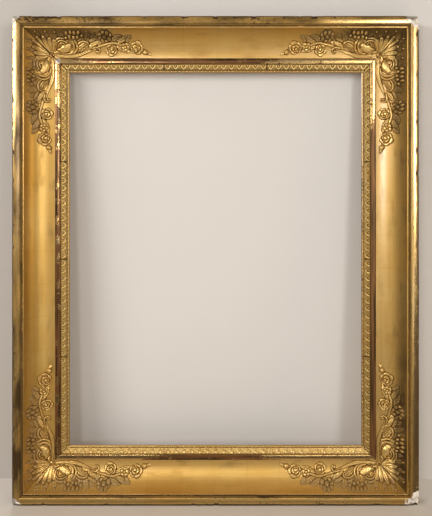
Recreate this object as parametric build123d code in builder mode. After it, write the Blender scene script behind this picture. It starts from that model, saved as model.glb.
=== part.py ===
from build123d import *
import os
from math import asin, cos, radians, sin, sqrt

os.makedirs("parts", exist_ok=True)

# Gilded picture frame, standing upright: +X to the right, +Z up, the back towards +Y.
# The origin is at the middle of the bottom edge. All sizes are in millimetres.

# Sight opening, where the picture shows, and the ledge behind it
sight_width = 710.0
sight_height = 906.0
rebate_lap = 12.0

# Outer moulding, from its outer side inwards: rim, quirk, fillet and scotia
rim_width = 19.0
rim_round = 2.5
rim_crown = 0.8
quirk_width = 2.5
quirk_depth = 5.0
fillet_width = 5.5
fillet_depth = 3.5
scotia_width = 65.0
scotia_depth = 44.5
scotia_steep_angle = 72.0
scotia_break_angle = 25.0
scotia_foot_angle = 8.0
scotia_foot_wood = 5.0

# Sight moulding: burnished strip, groove, bed for the pressed leaves and sight lip
strip_width = 13.0
strip_rise = 3.0
strip_crown = 0.8
groove_width = 1.2
bed_width = 14.3
bed_drop = 4.5
lip_width = 5.5
lip_rise = 2.0

# Pressed leaf-and-dart lengths on the bed
top_run_count = 3
side_run_count = 4
run_joint_gap = 0.4
run_edge_height = 2.2
run_crest_height = 3.6
run_crest_inset = 2.0
run_toe_height = 1.2
leaf_pitch = 18.0
leaf_half_width = 6.6
leaf_relief = 1.7
leaf_narrowing = 0.6
dart_half_width = 1.5

# Palmette over each mitre
palmette_node_radius = 8.0
palmette_node_height = 9.0
palmette_node_place = 0.10
palmette_tip_place = 0.93
palmette_lobe_half_width = 7.0
palmette_lobe_height = 6.5

# Floral spray, one on each side of each palmette
spray_length = 230.0
stem_half_width = 3.0
stem_height = 4.0
leaf_root = 1.5
flower_radius = 11.5
flower_height = 6.0
rose_radius = 14.0
rose_height = 9.0
scroll_eye_radius = 7.0
scroll_eye_height = 5.0
berry_radius = 3.8
berry_height = 4.5

# Back frame, half-lapped and pegged at the corners
back_thickness = 22.0
back_chamfer = 3.0
peg_diameter = 10.0
peg_inset = 36.0
key_leg = 34.0
key_thickness = 3.0
key_place = 26.0

# Screw eyes and loose hanging rings
eye_wire = 3.5
eye_bore = 8.0
eye_neck = 2.5
eye_shank = 16.0
eye_shank_diameter = 4.4
eye_inset = 52.0
eye_height = 880.0
ring_wire = 3.5
ring_bore = 23.0
ring_play = 0.35

# Turn buttons on round-headed screws
button_length = 42.0
button_width = 13.0
button_thickness = 2.5
button_setback = 13.0
button_lift = 0.3
button_low = 300.0
button_high = 700.0
button_screw = 4.0
button_screw_play = 0.06
button_screw_length = 16.0
button_head = 8.4
button_head_height = 2.8
button_slot = 1.0

# Distances inwards from the outer side
fillet_start = rim_width + quirk_width
scotia_start = fillet_start + fillet_width
scotia_end = scotia_start + scotia_width
groove_start = scotia_end + strip_width
bed_start = groove_start + groove_width
bed_end = bed_start + bed_width
rail_width = bed_end + lip_width
back_width = rail_width - rebate_lap

# Distances back from the front
scotia_foot = fillet_depth + scotia_depth
seat_depth = scotia_foot + scotia_foot_wood
strip_front = scotia_foot - strip_rise
bed_depth = strip_front + bed_drop
lip_front = bed_depth - lip_rise
frame_depth = seat_depth + back_thickness

# Overall size and the planes that everything is set from
outer_width = sight_width + 2 * rail_width
outer_height = sight_height + 2 * rail_width
eye_reach = eye_neck + eye_bore + 2 * eye_wire
front = -(frame_depth + eye_reach) / 2
back = front + frame_depth
left = -outer_width / 2
seat = front + seat_depth
overcut = 5.0
middle_plane = Plane(origin=(0, 0, outer_height / 2), z_dir=(0, 0, 1))
mitre_plane = Plane(origin=(left, 0, outer_height), z_dir=(1, 0, 1))
top_end = Plane(origin=(0, front, outer_height), x_dir=(0, 0, -1), z_dir=(1, 0, 0))
left_end = Plane(origin=(left, front, outer_height / 2), x_dir=(1, 0, 0), z_dir=(0, 0, 1))

# The scotia is two tangent arcs, a tight one high on the wall and a wide one at the foot
steep_sin = sin(radians(scotia_steep_angle))
steep_cos = cos(radians(scotia_steep_angle))
break_sin = sin(radians(scotia_break_angle))
break_cos = cos(radians(scotia_break_angle))
foot_sin = sin(radians(scotia_foot_angle))
foot_cos = cos(radians(scotia_foot_angle))
arc_balance = (steep_sin - break_sin) * (foot_cos - break_cos) - (break_sin - foot_sin) * (break_cos - steep_cos)
wall_radius = (scotia_width * (foot_cos - break_cos) - scotia_depth * (break_sin - foot_sin)) / arc_balance
foot_radius = (scotia_depth * (steep_sin - break_sin) - scotia_width * (break_cos - steep_cos)) / arc_balance
foot_run = foot_radius * (break_sin - foot_sin)


def save(piece, name):
    """Label a finished piece and write it."""
    piece.part.label = name
    export_step(piece.part, f"parts/{name}.step")


def mitre_window(upright):
    """Trapezoid that one rail fills between its two mitres, in the plane of the frame."""
    depth = rail_width + overcut
    half = outer_width / 2
    with BuildSketch(Plane.XZ) as window:
        if upright:
            inner = -half + depth
            Polygon((-half, 0), (inner, depth), (inner, outer_height - depth), (-half, outer_height), align=None)
        else:
            sill = outer_height - depth
            Polygon((-half, outer_height), (-half + depth, sill), (half - depth, sill), (half, outer_height),
                    align=None)
    return window.sketch


def moulding_section(plane):
    """Rim, quirk, fillet and scotia; x runs inwards from the outer side and y back from the front."""
    with BuildSketch(plane) as section:
        with BuildLine():
            side = Line((0, seat_depth), (0, rim_round + rim_crown))
            arris = RadiusArc(side @ 1, (rim_round, rim_crown), rim_round)
            crown = ThreePointArc(arris @ 1, ((rim_round + rim_width) / 2, 0), (rim_width, rim_crown))
            wall = Polyline(crown @ 1, (rim_width, quirk_depth), (fillet_start, quirk_depth),
                            (fillet_start, fillet_depth), (scotia_start, fillet_depth))
            steep = JernArc(wall @ 1, (steep_cos, steep_sin), wall_radius,
                            scotia_break_angle - scotia_steep_angle)
            foot = JernArc(steep @ 1, steep % 1, foot_radius, scotia_foot_angle - scotia_break_angle)
            Polyline(foot @ 1, (scotia_end, seat_depth), (0, seat_depth))
        make_face()
    return section.sketch


def sight_section(plane):
    """Burnished strip, groove, leaf bed and sight lip; the part past the back frame forms the rebate."""
    lip_middle = (bed_end + rail_width) / 2
    with BuildSketch(plane) as section:
        with BuildLine():
            edge = Line((scotia_end, seat_depth), (scotia_end, strip_front + strip_crown))
            crown = ThreePointArc(edge @ 1, (scotia_end + strip_width / 2, strip_front),
                                  (groove_start, strip_front + strip_crown))
            bed = Polyline(crown @ 1, (groove_start, bed_depth), (bed_end, bed_depth),
                           (bed_end, lip_front + lip_rise / 2))
            nose = ThreePointArc(bed @ 1, (lip_middle, lip_front), (rail_width, lip_front + lip_rise / 2))
            Polyline(nose @ 1, (rail_width, seat_depth), (scotia_end, seat_depth))
        make_face()
    return section.sketch


def run_section(plane):
    """Pressed leaf length: a crest beside the groove and a slope down to the sight lip."""
    crest = bed_start + run_crest_inset
    with BuildSketch(plane) as section:
        Polygon((bed_start, bed_depth), (bed_start, bed_depth - run_edge_height),
                (crest, bed_depth - run_crest_height), (bed_end, bed_depth - run_toe_height),
                (bed_end, bed_depth), align=None)
    return section.sketch


# Places on the scotia: s runs along the top rail from its inner left corner, t from the foot to the rim


def scotia_slope(t):
    """Angle of the scotia to the plane of the frame."""
    if t <= foot_run:
        return asin(foot_sin + t / foot_radius)
    return asin(break_sin + (t - foot_run) / wall_radius)


def scotia_place(s, t):
    """Point on the scotia."""
    slope = cos(scotia_slope(t))
    if t <= foot_run:
        drop = foot_radius * (foot_cos - slope)
    else:
        drop = foot_radius * (foot_cos - break_cos) + wall_radius * (break_cos - slope)
    return Vector(left + scotia_end + s, front + scotia_foot - drop, outer_height - scotia_end + t)


def scotia_normal(s, t):
    """Direction out of the scotia; on the mitre it is shared by the two rails."""
    slope = scotia_slope(t)
    if abs(s + t) < 0.01:
        return Vector(sin(slope), -2 * cos(slope), -sin(slope)).normalized()
    return Vector(0, -cos(slope), -sin(slope))


def faceted(rings):
    """Closed solid with flat facets between rings of as many points each."""
    facets = [Face(Wire.make_polygon(rings[0])), Face(Wire.make_polygon(rings[-1]))]
    for ring, following in zip(rings, rings[1:]):
        for index, point in enumerate(ring):
            beside = (index + 1) % len(ring)
            facets.append(Face(Wire.make_polygon([point, ring[beside], following[beside]])))
            facets.append(Face(Wire.make_polygon([point, following[beside], following[index]])))
    return Solid(Shell(facets))


def ridge(path, half_widths, heights):
    """Sharp-backed leaf, stem or lobe that follows a path of places on the scotia."""
    rings = []
    points = [scotia_place(s, t) for s, t in path]
    for index, (s, t) in enumerate(path):
        ahead = points[min(index + 1, len(points) - 1)]
        behind = points[max(index - 1, 0)]
        normal = scotia_normal(s, t)
        aside = normal.cross(ahead - behind).normalized() * half_widths[index]
        root = points[index] - normal * leaf_root
        rings.append([root - aside, root + aside, points[index] + normal * heights[index]])
    return faceted(rings)


def leaf(base, tip, half_width, height):
    """Pointed leaf from its stalk to its tip, widest a third of the way along."""
    shape = [(0.0, 0.35, 0.6), (0.35, 1.0, 1.0), (0.7, 0.7, 0.8), (1.0, 0.12, 0.2)]
    path = [(base[0] + (tip[0] - base[0]) * share, base[1] + (tip[1] - base[1]) * share) for share, _, _ in shape]
    return ridge(path, [half_width * wide for _, wide, _ in shape], [height * high for _, _, high in shape])


def tier(place, outline, base, height, narrow):
    """One tier of a flower or a berry: an outline of turns and reaches that narrows as it rises."""
    s, t = place
    plane = Plane(origin=scotia_place(s, t), x_dir=(1, 0, 0), z_dir=scotia_normal(s, t))
    rings = []
    for level, share in ((base, 1.0), (height, narrow)):
        rings.append([plane.from_local_coords(Vector(reach * share * cos(turn), reach * share * sin(turn), level))
                      for turn, reach in outline])
    return faceted(rings)


def petals(radius, count, turn):
    """Outline of a flower, as turns and reaches, with two points to a petal and a notch after it."""
    outline = []
    for petal in range(count):
        for offset, share in ((-0.3, 1.0), (0.3, 1.0), (0.5, 0.72)):
            outline.append((radians(turn + 360 / count * (petal + offset)), radius * share))
    return outline


def rounded(radius, sides, turn):
    """Outline of a berry or a bud."""
    return [(radians(turn + 360 / sides * side), radius) for side in range(sides)]


def on_spray(along, across):
    """Place on the scotia from the share of the spray's length and of the scotia's width."""
    return (along * spray_length, across * scotia_width)


# Back frame: the rails keep the front half of each corner and the stiles the back half
lap = back_thickness / 2
peg_places = []
for end in (-1, 1):
    for near, far in ((peg_inset, back_width - peg_inset), (back_width - peg_inset, peg_inset)):
        peg_places.append((end * (outer_width / 2 - near), far))
        peg_places.append((end * (outer_width / 2 - near), outer_height - far))

with BuildPart() as corner_pegs:
    with BuildSketch(Plane.XZ.offset(-back)):
        with Locations(*peg_places):
            Circle(peg_diameter / 2)
    extrude(amount=back_thickness)

with BuildPart() as back_rail_top:
    with BuildSketch(Plane.XZ.offset(-seat - lap)):
        with Locations((0, outer_height - back_width / 2)):
            Rectangle(outer_width, back_width)
    extrude(amount=lap)
    with BuildSketch(Plane.XZ.offset(-back)):
        with Locations((0, outer_height - back_width / 2)):
            Rectangle(outer_width - 2 * back_width, back_width)
    extrude(amount=lap)
    chamfer(back_rail_top.edges().group_by(Axis.Y)[-1].sort_by(Axis.Z)[-1], back_chamfer)
    add(corner_pegs.part, mode=Mode.SUBTRACT)

with BuildPart() as back_stile_left:
    with BuildSketch(Plane.XZ.offset(-back)):
        with Locations((left + back_width / 2, outer_height / 2)):
            Rectangle(back_width, outer_height)
    extrude(amount=lap)
    with BuildSketch(Plane.XZ.offset(-seat - lap)):
        with Locations((left + back_width / 2, outer_height / 2)):
            Rectangle(back_width, outer_height - 2 * back_width)
    extrude(amount=lap)
    outer_edges = back_stile_left.edges().group_by(Axis.Y)[-1]
    chamfer(outer_edges.sort_by(Axis.X)[:-1], back_chamfer)
    add(corner_pegs.part, mode=Mode.SUBTRACT)

# Mitre feathers, let into the outer corners of the mouldings
with BuildPart() as mitre_key_top_left:
    with BuildSketch(Plane.XZ.offset(-front - key_place)):
        Polygon((left, outer_height), (left, outer_height - key_leg), (left + key_leg, outer_height), align=None)
    extrude(amount=-key_thickness)

with BuildPart() as mitre_keys:
    add(mitre_key_top_left.part)
    mirror(about=Plane.YZ)
    mirror(about=middle_plane)

# Mouldings of the top and the left, with the slots for the feathers
with BuildPart() as moulding_top:
    extrude(moulding_section(top_end), amount=outer_width / 2, both=True)
    extrude(mitre_window(upright=False), amount=frame_depth, both=True, mode=Mode.INTERSECT)
    add(mitre_keys.part, mode=Mode.SUBTRACT)

with BuildPart() as moulding_left:
    extrude(moulding_section(left_end), amount=outer_height / 2, both=True)
    extrude(mitre_window(upright=True), amount=frame_depth, both=True, mode=Mode.INTERSECT)
    add(mitre_keys.part, mode=Mode.SUBTRACT)

with BuildPart() as sight_moulding_top:
    extrude(sight_section(top_end), amount=outer_width / 2, both=True)
    extrude(mitre_window(upright=False), amount=frame_depth, both=True, mode=Mode.INTERSECT)

with BuildPart() as sight_moulding_left:
    extrude(sight_section(left_end), amount=outer_height / 2, both=True)
    extrude(mitre_window(upright=True), amount=frame_depth, both=True, mode=Mode.INTERSECT)

# Pressed leaf lengths: tongues that point at the sight edge, with a dart between each two
slope_run = bed_width - run_crest_inset
slope_drop = run_crest_height - run_toe_height
slope_length = sqrt(slope_run ** 2 + slope_drop ** 2)


def slope_tier(plane, place, outline, half_width):
    """A tongue or a dart that stands on the slope of a run and narrows as it rises."""
    rings = []
    for level, share in ((-run_toe_height / 2, 1.0), (leaf_relief, leaf_narrowing)):
        rings.append([plane.from_local_coords(Vector(place + half_width * share * x,
                                                     slope_length * (0.5 + share * y), level)) for x, y in outline])
    return faceted(rings)


def leaf_run(upright, start, finish):
    """One pressed length between two places along its rail, mitred where it meets a corner."""
    end_plane = left_end if upright else top_end
    count = max(2, round((finish - start) / leaf_pitch))
    step = (finish - start) / count
    tongue = [(-0.85, -0.48), (0.85, -0.48), (1.0, -0.15), (0.62, 0.22), (0.0, 0.47), (-0.62, 0.22), (-1.0, -0.15)]
    dart = [(-1.0, 0.2), (0.0, -0.12), (1.0, 0.2), (0.0, 0.46)]
    crest = end_plane.from_local_coords(Vector(bed_start + run_crest_inset, bed_depth - run_crest_height, 0))
    toe = end_plane.from_local_coords(Vector(bed_end, bed_depth - run_toe_height, 0))
    slope_plane = Plane(origin=crest, x_dir=end_plane.z_dir, z_dir=end_plane.z_dir.cross(toe - crest))
    tongues = [slope_tier(slope_plane, start + step * (index + 0.5), tongue, leaf_half_width)
               for index in range(count)]
    darts = [slope_tier(slope_plane, start + step * index, dart, dart_half_width) for index in range(1, count)]
    with BuildPart() as run:
        extrude(run_section(end_plane.offset(start)), amount=finish - start)
        add([*tongues, *darts])
        extrude(mitre_window(upright), amount=frame_depth, both=True, mode=Mode.INTERSECT)
    return run


def run_spans(inner_half, count):
    """Start and finish of each length along one side, with a crack between neighbours."""
    step = 2 * inner_half / count
    return [(-inner_half + step * index + (run_joint_gap / 2 if index else 0),
             -inner_half + step * (index + 1) - (run_joint_gap / 2 if index < count - 1 else 0))
            for index in range(count)]


for number, (start, finish) in enumerate(run_spans(outer_width / 2 - bed_start, top_run_count), 1):
    top_run = leaf_run(False, start, finish)
    save(top_run, f"leaf_run_top_{number}")
    with BuildPart() as bottom_run:
        mirror(top_run.part, about=middle_plane)
    save(bottom_run, f"leaf_run_bottom_{number}")

for number, (start, finish) in enumerate(run_spans(outer_height / 2 - bed_start, side_run_count), 1):
    left_run = leaf_run(True, start, finish)
    save(left_run, f"leaf_run_left_{number}")
    with BuildPart() as right_run:
        mirror(left_run.part, about=Plane.YZ)
    save(right_run, f"leaf_run_right_{number}")

# Palmette: ridged lobes fan out from a knot beside the inner corner to the top of the scotia
lobe_shape = [(0.0, 0.45, 0.8), (0.35, 0.6, 0.9), (0.7, 0.85, 1.0), (0.92, 0.8, 1.0), (1.0, 0.25, 0.45)]
lobe_ends = [-0.72, -0.46, -0.2, 0.05]


def lobe(end_s, end_t):
    """One lobe, from the knot on the mitre to its tip."""
    node = palmette_node_place * scotia_width
    path = [(-node + (end_s + node) * share, node + (end_t - node) * share) for share, _, _ in lobe_shape]
    return ridge(path, [palmette_lobe_half_width * wide for _, wide, _ in lobe_shape],
                 [palmette_lobe_height * high for _, _, high in lobe_shape])


tip_t = palmette_tip_place * scotia_width
node_t = palmette_node_place * scotia_width
half_fan = [lobe(end * scotia_width, tip_t) for end in lobe_ends]
knot = tier((-node_t, node_t), rounded(palmette_node_radius, 8, 22.5), -leaf_root, palmette_node_height, 0.5)

with BuildPart() as palmette_top_left:
    add([*half_fan, *[one.mirror(mitre_plane) for one in half_fan], lobe(-tip_t, tip_t), knot])
    add(moulding_top.part, mode=Mode.SUBTRACT)
    add(moulding_left.part, mode=Mode.SUBTRACT)
    add(sight_moulding_top.part, mode=Mode.SUBTRACT)
    add(sight_moulding_left.part, mode=Mode.SUBTRACT)

# Spray on the top rail: places are shares of the spray's length and of the scotia's width
stem_path = [(0.05, 0.08), (0.14, 0.08), (0.25, 0.1), (0.34, 0.22), (0.44, 0.33), (0.55, 0.38), (0.66, 0.36),
             (0.77, 0.34), (0.87, 0.31), (0.95, 0.22)]
scroll_path = [(0.23, 0.1), (0.18, 0.14), (0.168, 0.3), (0.135, 0.47), (0.088, 0.46), (0.07, 0.33), (0.09, 0.2)]
tendril_path = [(0.35, 0.22), (0.39, 0.1), (0.435, 0.07), (0.462, 0.16), (0.44, 0.26), (0.415, 0.2)]
stalk_paths = [[(0.155, 0.4), (0.175, 0.62), (0.184, 0.82)], [(0.47, 0.34), (0.5, 0.55), (0.515, 0.75)]]
leaves = [
    ((0.16, 0.34), (0.3, 0.48), 7.0, 6.5),
    ((0.25, 0.12), (0.37, 0.5), 6.0, 6.0),
    ((0.39, 0.3), (0.5, 0.26), 5.0, 6.0),
    ((0.4, 0.32), (0.49, 0.56), 6.5, 7.0),
    ((0.55, 0.4), (0.67, 0.74), 7.0, 6.5),
    ((0.64, 0.36), (0.76, 0.57), 6.0, 6.0),
    ((0.64, 0.36), (0.75, 0.16), 5.5, 5.5),
    ((0.77, 0.34), (0.84, 0.62), 5.0, 5.5),
    ((0.9, 0.28), (1.0, 0.12), 5.0, 5.0),
]
berry_places = [(0.168, 0.76), (0.2, 0.77), (0.184, 0.84)]

spray_pieces = []
for path in (stem_path, scroll_path, tendril_path, *stalk_paths):
    route = [on_spray(*place) for place in path]
    spray_pieces.append(ridge(route, [stem_half_width] * len(route), [stem_height] * len(route)))
for base, tip, half_width, height in leaves:
    spray_pieces.append(leaf(on_spray(*base), on_spray(*tip), half_width, height))
for place in berry_places:
    spray_pieces.append(tier(on_spray(*place), rounded(berry_radius, 6, 0), -leaf_root, berry_height, 0.5))
for place, radius in (((0.125, 0.32), scroll_eye_radius), ((0.435, 0.17), berry_radius)):
    spray_pieces.append(tier(on_spray(*place), rounded(radius, 8, 0), -leaf_root, scroll_eye_height, 0.5))
flower_place = on_spray(0.52, 0.78)
spray_pieces.append(tier(flower_place, petals(flower_radius, 5, 10), -leaf_root, flower_height * 0.6, 0.75))
spray_pieces.append(tier(flower_place, rounded(flower_radius * 0.4, 6, 0), 0, flower_height, 0.5))
for place, turn in (((0.59, 0.24), 0), ((0.85, 0.34), 17)):
    rose_place = on_spray(*place)
    spray_pieces.append(tier(rose_place, petals(rose_radius, 5, turn), -leaf_root, rose_height * 0.5, 0.75))
    spray_pieces.append(tier(rose_place, petals(rose_radius * 0.65, 5, turn + 36), 0, rose_height * 0.8, 0.7))
    spray_pieces.append(tier(rose_place, rounded(rose_radius * 0.3, 6, turn), leaf_root, rose_height, 0.5))

with BuildPart() as spray_top_left:
    add(spray_pieces)
    add(moulding_top.part, mode=Mode.SUBTRACT)
    add(sight_moulding_top.part, mode=Mode.SUBTRACT)

with BuildPart() as spray_left_top:
    mirror(spray_top_left.part, about=mitre_plane)

# Screw eyes in the stiles, each with a loose ring that hangs from its bore
eye_centre = Vector(left + eye_inset, back + eye_neck + eye_wire + eye_bore / 2, eye_height)
eye_radius = (eye_bore + eye_wire) / 2
ring_radius = (ring_bore + ring_wire) / 2
ring_axis = eye_centre - Vector(0, 0, (eye_bore - ring_wire) / 2 - ring_play)
ring_centre = ring_axis - Vector(0, 0, ring_radius)

with BuildPart() as screw_eye_left:
    with BuildSketch(Plane(origin=eye_centre, x_dir=(1, 0, 0), z_dir=(0, 0, 1))):
        with Locations((0, eye_radius)):
            Circle(eye_wire / 2)
    revolve(axis=Axis(eye_centre, (1, 0, 0)))
    with BuildSketch(Plane(origin=eye_centre - Vector(0, eye_radius, 0), z_dir=(0, -1, 0))):
        Circle(eye_shank_diameter / 2)
    extrude(amount=eye_wire / 2 + eye_neck + eye_shank)

with BuildPart() as hanging_ring_left:
    with BuildSketch(Plane(origin=ring_centre, x_dir=(0, 0, 1), z_dir=(1, 0, 0))):
        with Locations((ring_radius, 0)):
            Circle(ring_wire / 2)
    revolve(axis=Axis(ring_centre, (0, 1, 0)))

# Turn buttons lie along the stiles, clear of the rebate, and turn over it on their screws
button_x = left + back_width - button_setback
head_seat = 2 * button_lift + button_thickness


def button_plane(height):
    """Plane on the back of the left stile, with its origin where a button turns."""
    return Plane(origin=(button_x, back, height), x_dir=(0, 0, 1), z_dir=(0, 1, 0))


def turn_button(height):
    """Flat brass button with rounded ends, bored for its screw."""
    with BuildPart() as button:
        with BuildSketch(button_plane(height).offset(button_lift)):
            SlotOverall(button_length, button_width)
            Circle(button_screw / 2 + button_screw_play, mode=Mode.SUBTRACT)
        extrude(amount=button_thickness)
        chamfer(button.edges().group_by(Axis.Y)[-1].sort_by(SortBy.LENGTH)[1:], button_thickness / 4)
    return button


def button_screw_at(height):
    """Round-headed wood screw with a driver slot."""
    with BuildPart() as screw:
        with BuildSketch(Plane(origin=(button_x, back, height), x_dir=(1, 0, 0), z_dir=(0, 0, 1))):
            with BuildLine():
                shank = Polyline((0, -button_screw_length), (button_screw / 2, -button_screw_length + button_screw),
                                 (button_screw / 2, head_seat), (button_head / 2, head_seat))
                dome = RadiusArc(shank @ 1, (0, head_seat + button_head_height),
                                 -(button_head ** 2 / 4 + button_head_height ** 2) / (2 * button_head_height))
                Line(dome @ 1, (0, -button_screw_length))
            make_face()
        revolve(axis=Axis((button_x, back, height), (0, 1, 0)))
        with BuildSketch(button_plane(height).offset(head_seat + button_head_height)):
            Rectangle(button_head, button_slot)
        extrude(amount=-button_head_height / 2, mode=Mode.SUBTRACT)
    return screw


with BuildPart() as left_screws:
    add(button_screw_at(button_low).part)
    add(button_screw_at(button_high).part)

with BuildPart() as button_screws:
    add(left_screws.part)
    mirror(about=Plane.YZ)

with BuildPart() as bored_stile_left:
    add(back_stile_left.part)
    add(screw_eye_left.part, mode=Mode.SUBTRACT)
    add(left_screws.part, mode=Mode.SUBTRACT)


def save_mirrored(piece, first, second, plane):
    """Save a piece and its mirror image under their two names."""
    save(piece, first)
    with BuildPart() as image:
        mirror(piece.part, about=plane)
    save(image, second)


def save_corners(piece, name, ends):
    """Save a piece of the top left corner and its images at the other three, top ones first."""
    with BuildPart() as right_piece:
        mirror(piece.part, about=Plane.YZ)
    save_mirrored(piece, f"{name}_{ends[0]}", f"{name}_{ends[2]}", middle_plane)
    save_mirrored(right_piece, f"{name}_{ends[1]}", f"{name}_{ends[3]}", middle_plane)


corners = ("top_left", "top_right", "bottom_left", "bottom_right")
sides = ("left_top", "right_top", "left_bottom", "right_bottom")
save_corners(mitre_key_top_left, "mitre_key", corners)
save_corners(palmette_top_left, "palmette", corners)
save_corners(spray_top_left, "spray", corners)
save_corners(spray_left_top, "spray", sides)
save_mirrored(moulding_top, "moulding_top", "moulding_bottom", middle_plane)
save_mirrored(moulding_left, "moulding_left", "moulding_right", Plane.YZ)
save_mirrored(sight_moulding_top, "sight_moulding_top", "sight_moulding_bottom", middle_plane)
save_mirrored(sight_moulding_left, "sight_moulding_left", "sight_moulding_right", Plane.YZ)
save_mirrored(back_rail_top, "back_rail_top", "back_rail_bottom", middle_plane)
save_mirrored(bored_stile_left, "back_stile_left", "back_stile_right", Plane.YZ)
save_mirrored(screw_eye_left, "screw_eye_left", "screw_eye_right", Plane.YZ)
save_mirrored(hanging_ring_left, "hanging_ring_left", "hanging_ring_right", Plane.YZ)
save_mirrored(turn_button(button_low), "turn_button_left_low", "turn_button_right_low", Plane.YZ)
save_mirrored(turn_button(button_high), "turn_button_left_high", "turn_button_right_high", Plane.YZ)
save(corner_pegs, "corner_pegs")
save(button_screws, "button_screws")
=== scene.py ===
# %% [markdown]
# # Gilded picture frame with pressed corner ornament
# The object is an empty picture frame of about 1820 to 1840: softwood covered with gesso and gold leaf,
# with flower sprays and fan palmettes pressed in composition over the corners. This lesson dresses the
# packed CAD model: the mouldings are swept again with the small damage of two centuries, the ornament is
# carved as a fine relief, and every surface gets a finish made of shader nodes.

# %% Load the frame
import math

import bpy
import numpy as np
from mathutils import Matrix, Vector


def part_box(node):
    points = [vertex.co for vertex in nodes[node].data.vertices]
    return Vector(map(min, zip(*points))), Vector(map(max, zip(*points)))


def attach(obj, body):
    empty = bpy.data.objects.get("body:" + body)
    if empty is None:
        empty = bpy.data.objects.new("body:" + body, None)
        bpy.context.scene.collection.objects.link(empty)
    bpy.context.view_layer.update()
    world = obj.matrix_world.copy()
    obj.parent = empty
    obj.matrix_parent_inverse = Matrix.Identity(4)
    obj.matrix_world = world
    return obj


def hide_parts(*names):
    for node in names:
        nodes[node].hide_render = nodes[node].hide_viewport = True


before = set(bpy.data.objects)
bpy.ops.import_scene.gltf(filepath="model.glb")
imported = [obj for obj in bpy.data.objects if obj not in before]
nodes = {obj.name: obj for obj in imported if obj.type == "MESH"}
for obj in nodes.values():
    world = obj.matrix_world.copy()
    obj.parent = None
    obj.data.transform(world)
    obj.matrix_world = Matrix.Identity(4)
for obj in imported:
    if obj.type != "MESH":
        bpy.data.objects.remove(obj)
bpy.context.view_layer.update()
MM = 0.001


def stands_for(piece, node_name):
    """Hands a piece over: hides the CAD node it replaces and sets the piece on the body it rides on."""
    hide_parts(node_name)
    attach(piece, "frame")


# %% [markdown]
# ## Where everything sits
# All sizes come from the packed model: the outer size of the frame from its rails, and the front plane from
# the top moulding. Each side has its own directions, so that one sweep serves all four: `along` runs
# anticlockwise as seen from the front, and `inward` points at the opening.

# %% Sides of the frame
top_low, top_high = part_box("moulding_top")
FRONT = top_low.y
WIDTH = top_high.x - top_low.x
HEIGHT = top_high.z
SIDES = {
    "bottom": {"start": (-WIDTH / 2, 0.0), "along": (1, 0), "inward": (0, 1), "length": WIDTH},
    "right": {"start": (WIDTH / 2, 0.0), "along": (0, 1), "inward": (-1, 0), "length": HEIGHT},
    "top": {"start": (WIDTH / 2, HEIGHT), "along": (-1, 0), "inward": (0, -1), "length": WIDTH},
    "left": {"start": (-WIDTH / 2, HEIGHT), "along": (0, -1), "inward": (1, 0), "length": HEIGHT},
}


def on_side(name, along, inward, depth):
    """World points at distances along a side, inwards from its outer edge and back from the front."""
    side = SIDES[name]
    x = side["start"][0] + along * side["along"][0] + inward * side["inward"][0]
    z = side["start"][1] + along * side["along"][1] + inward * side["inward"][1]
    return np.stack([x, FRONT + depth, z], axis=-1)


print("outer size", round(WIDTH, 4), "x", round(HEIGHT, 4), "front at", round(FRONT, 5))

# %% [markdown]
# ## Camera
# The photograph looks straight at the frame from a little above its middle, with no keystone. A lens of
# normal length stands on the axis, and a vertical shift brings the frame to the middle of the picture, as a
# cropped photograph does.

# %% Camera
PICTURE_WIDTH = 432
PICTURE_HEIGHT = 516
FRAME_WIDTH_PX = 407.4
FRAME_MIDDLE_PX = (215.5, 260.9)
STAND_OFF = 1.69
SENSOR = 36.0
CAMERA_SHIFT = -0.12

px_per_metre = FRAME_WIDTH_PX / WIDTH
lens_px = px_per_metre * STAND_OFF
camera_x = (PICTURE_WIDTH / 2 - FRAME_MIDDLE_PX[0]) / px_per_metre
rise_px = FRAME_MIDDLE_PX[1] - PICTURE_HEIGHT / 2 - CAMERA_SHIFT * PICTURE_HEIGHT
camera_z = HEIGHT / 2 + rise_px / px_per_metre

camera_data = bpy.data.cameras.new("camera")
camera_data.sensor_width = SENSOR
camera_data.lens = lens_px / PICTURE_HEIGHT * SENSOR
camera_data.shift_y = CAMERA_SHIFT
camera = bpy.data.objects.new("camera", camera_data)
camera.location = (camera_x, FRONT - STAND_OFF, camera_z)
camera.rotation_euler = (math.radians(90), 0, 0)
bpy.context.scene.collection.objects.link(camera)
bpy.context.scene.camera = camera
bpy.context.scene.view_settings.view_transform = "Standard"
print("lens", round(camera_data.lens, 2), "camera height", round(camera_z, 3))

# %% [markdown]
# ## Helpers for meshes
# Numpy does the heavy work on points. A piece keeps its masks (worn edges, hollows darkened by dirt and by
# painted shade, chips) as point attributes, which the finishes read, so the wear and the painted shade stay
# with the surface from every side.

# %% Mesh helpers


def new_piece(name, points, faces, masks, material, smooth=True):
    """A mesh object at the origin with its masks stored as point attributes."""
    mesh = bpy.data.meshes.new(name)
    mesh.from_pydata(points.tolist(), [], faces)
    for mask_name, values in masks.items():
        kind = "FLOAT" if values.ndim == 1 else "FLOAT_VECTOR"
        field = "value" if values.ndim == 1 else "vector"
        layer = mesh.attributes.new(mask_name, kind, "POINT")
        layer.data.foreach_set(field, values.astype(np.float32).ravel())
    mesh.polygons.foreach_set("use_smooth", np.full(len(mesh.polygons), smooth))
    mesh.materials.append(material)
    mesh.update()
    piece = bpy.data.objects.new(name, mesh)
    bpy.context.scene.collection.objects.link(piece)
    return piece


def wander(points, length, seed, octaves=3):
    """Smooth noise between about -1 and 1 over a set of points, from a few random waves."""
    draw = np.random.default_rng(seed)
    total = np.zeros(points.shape[:-1])
    for octave in range(octaves):
        for wave in range(4):
            direction = draw.normal(size=points.shape[-1])
            direction *= 2 * math.pi * 2 ** octave / length / np.linalg.norm(direction)
            total += np.sin(points @ direction + draw.uniform(0, 2 * math.pi)) * 0.5 ** octave
    return total / 4


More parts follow.
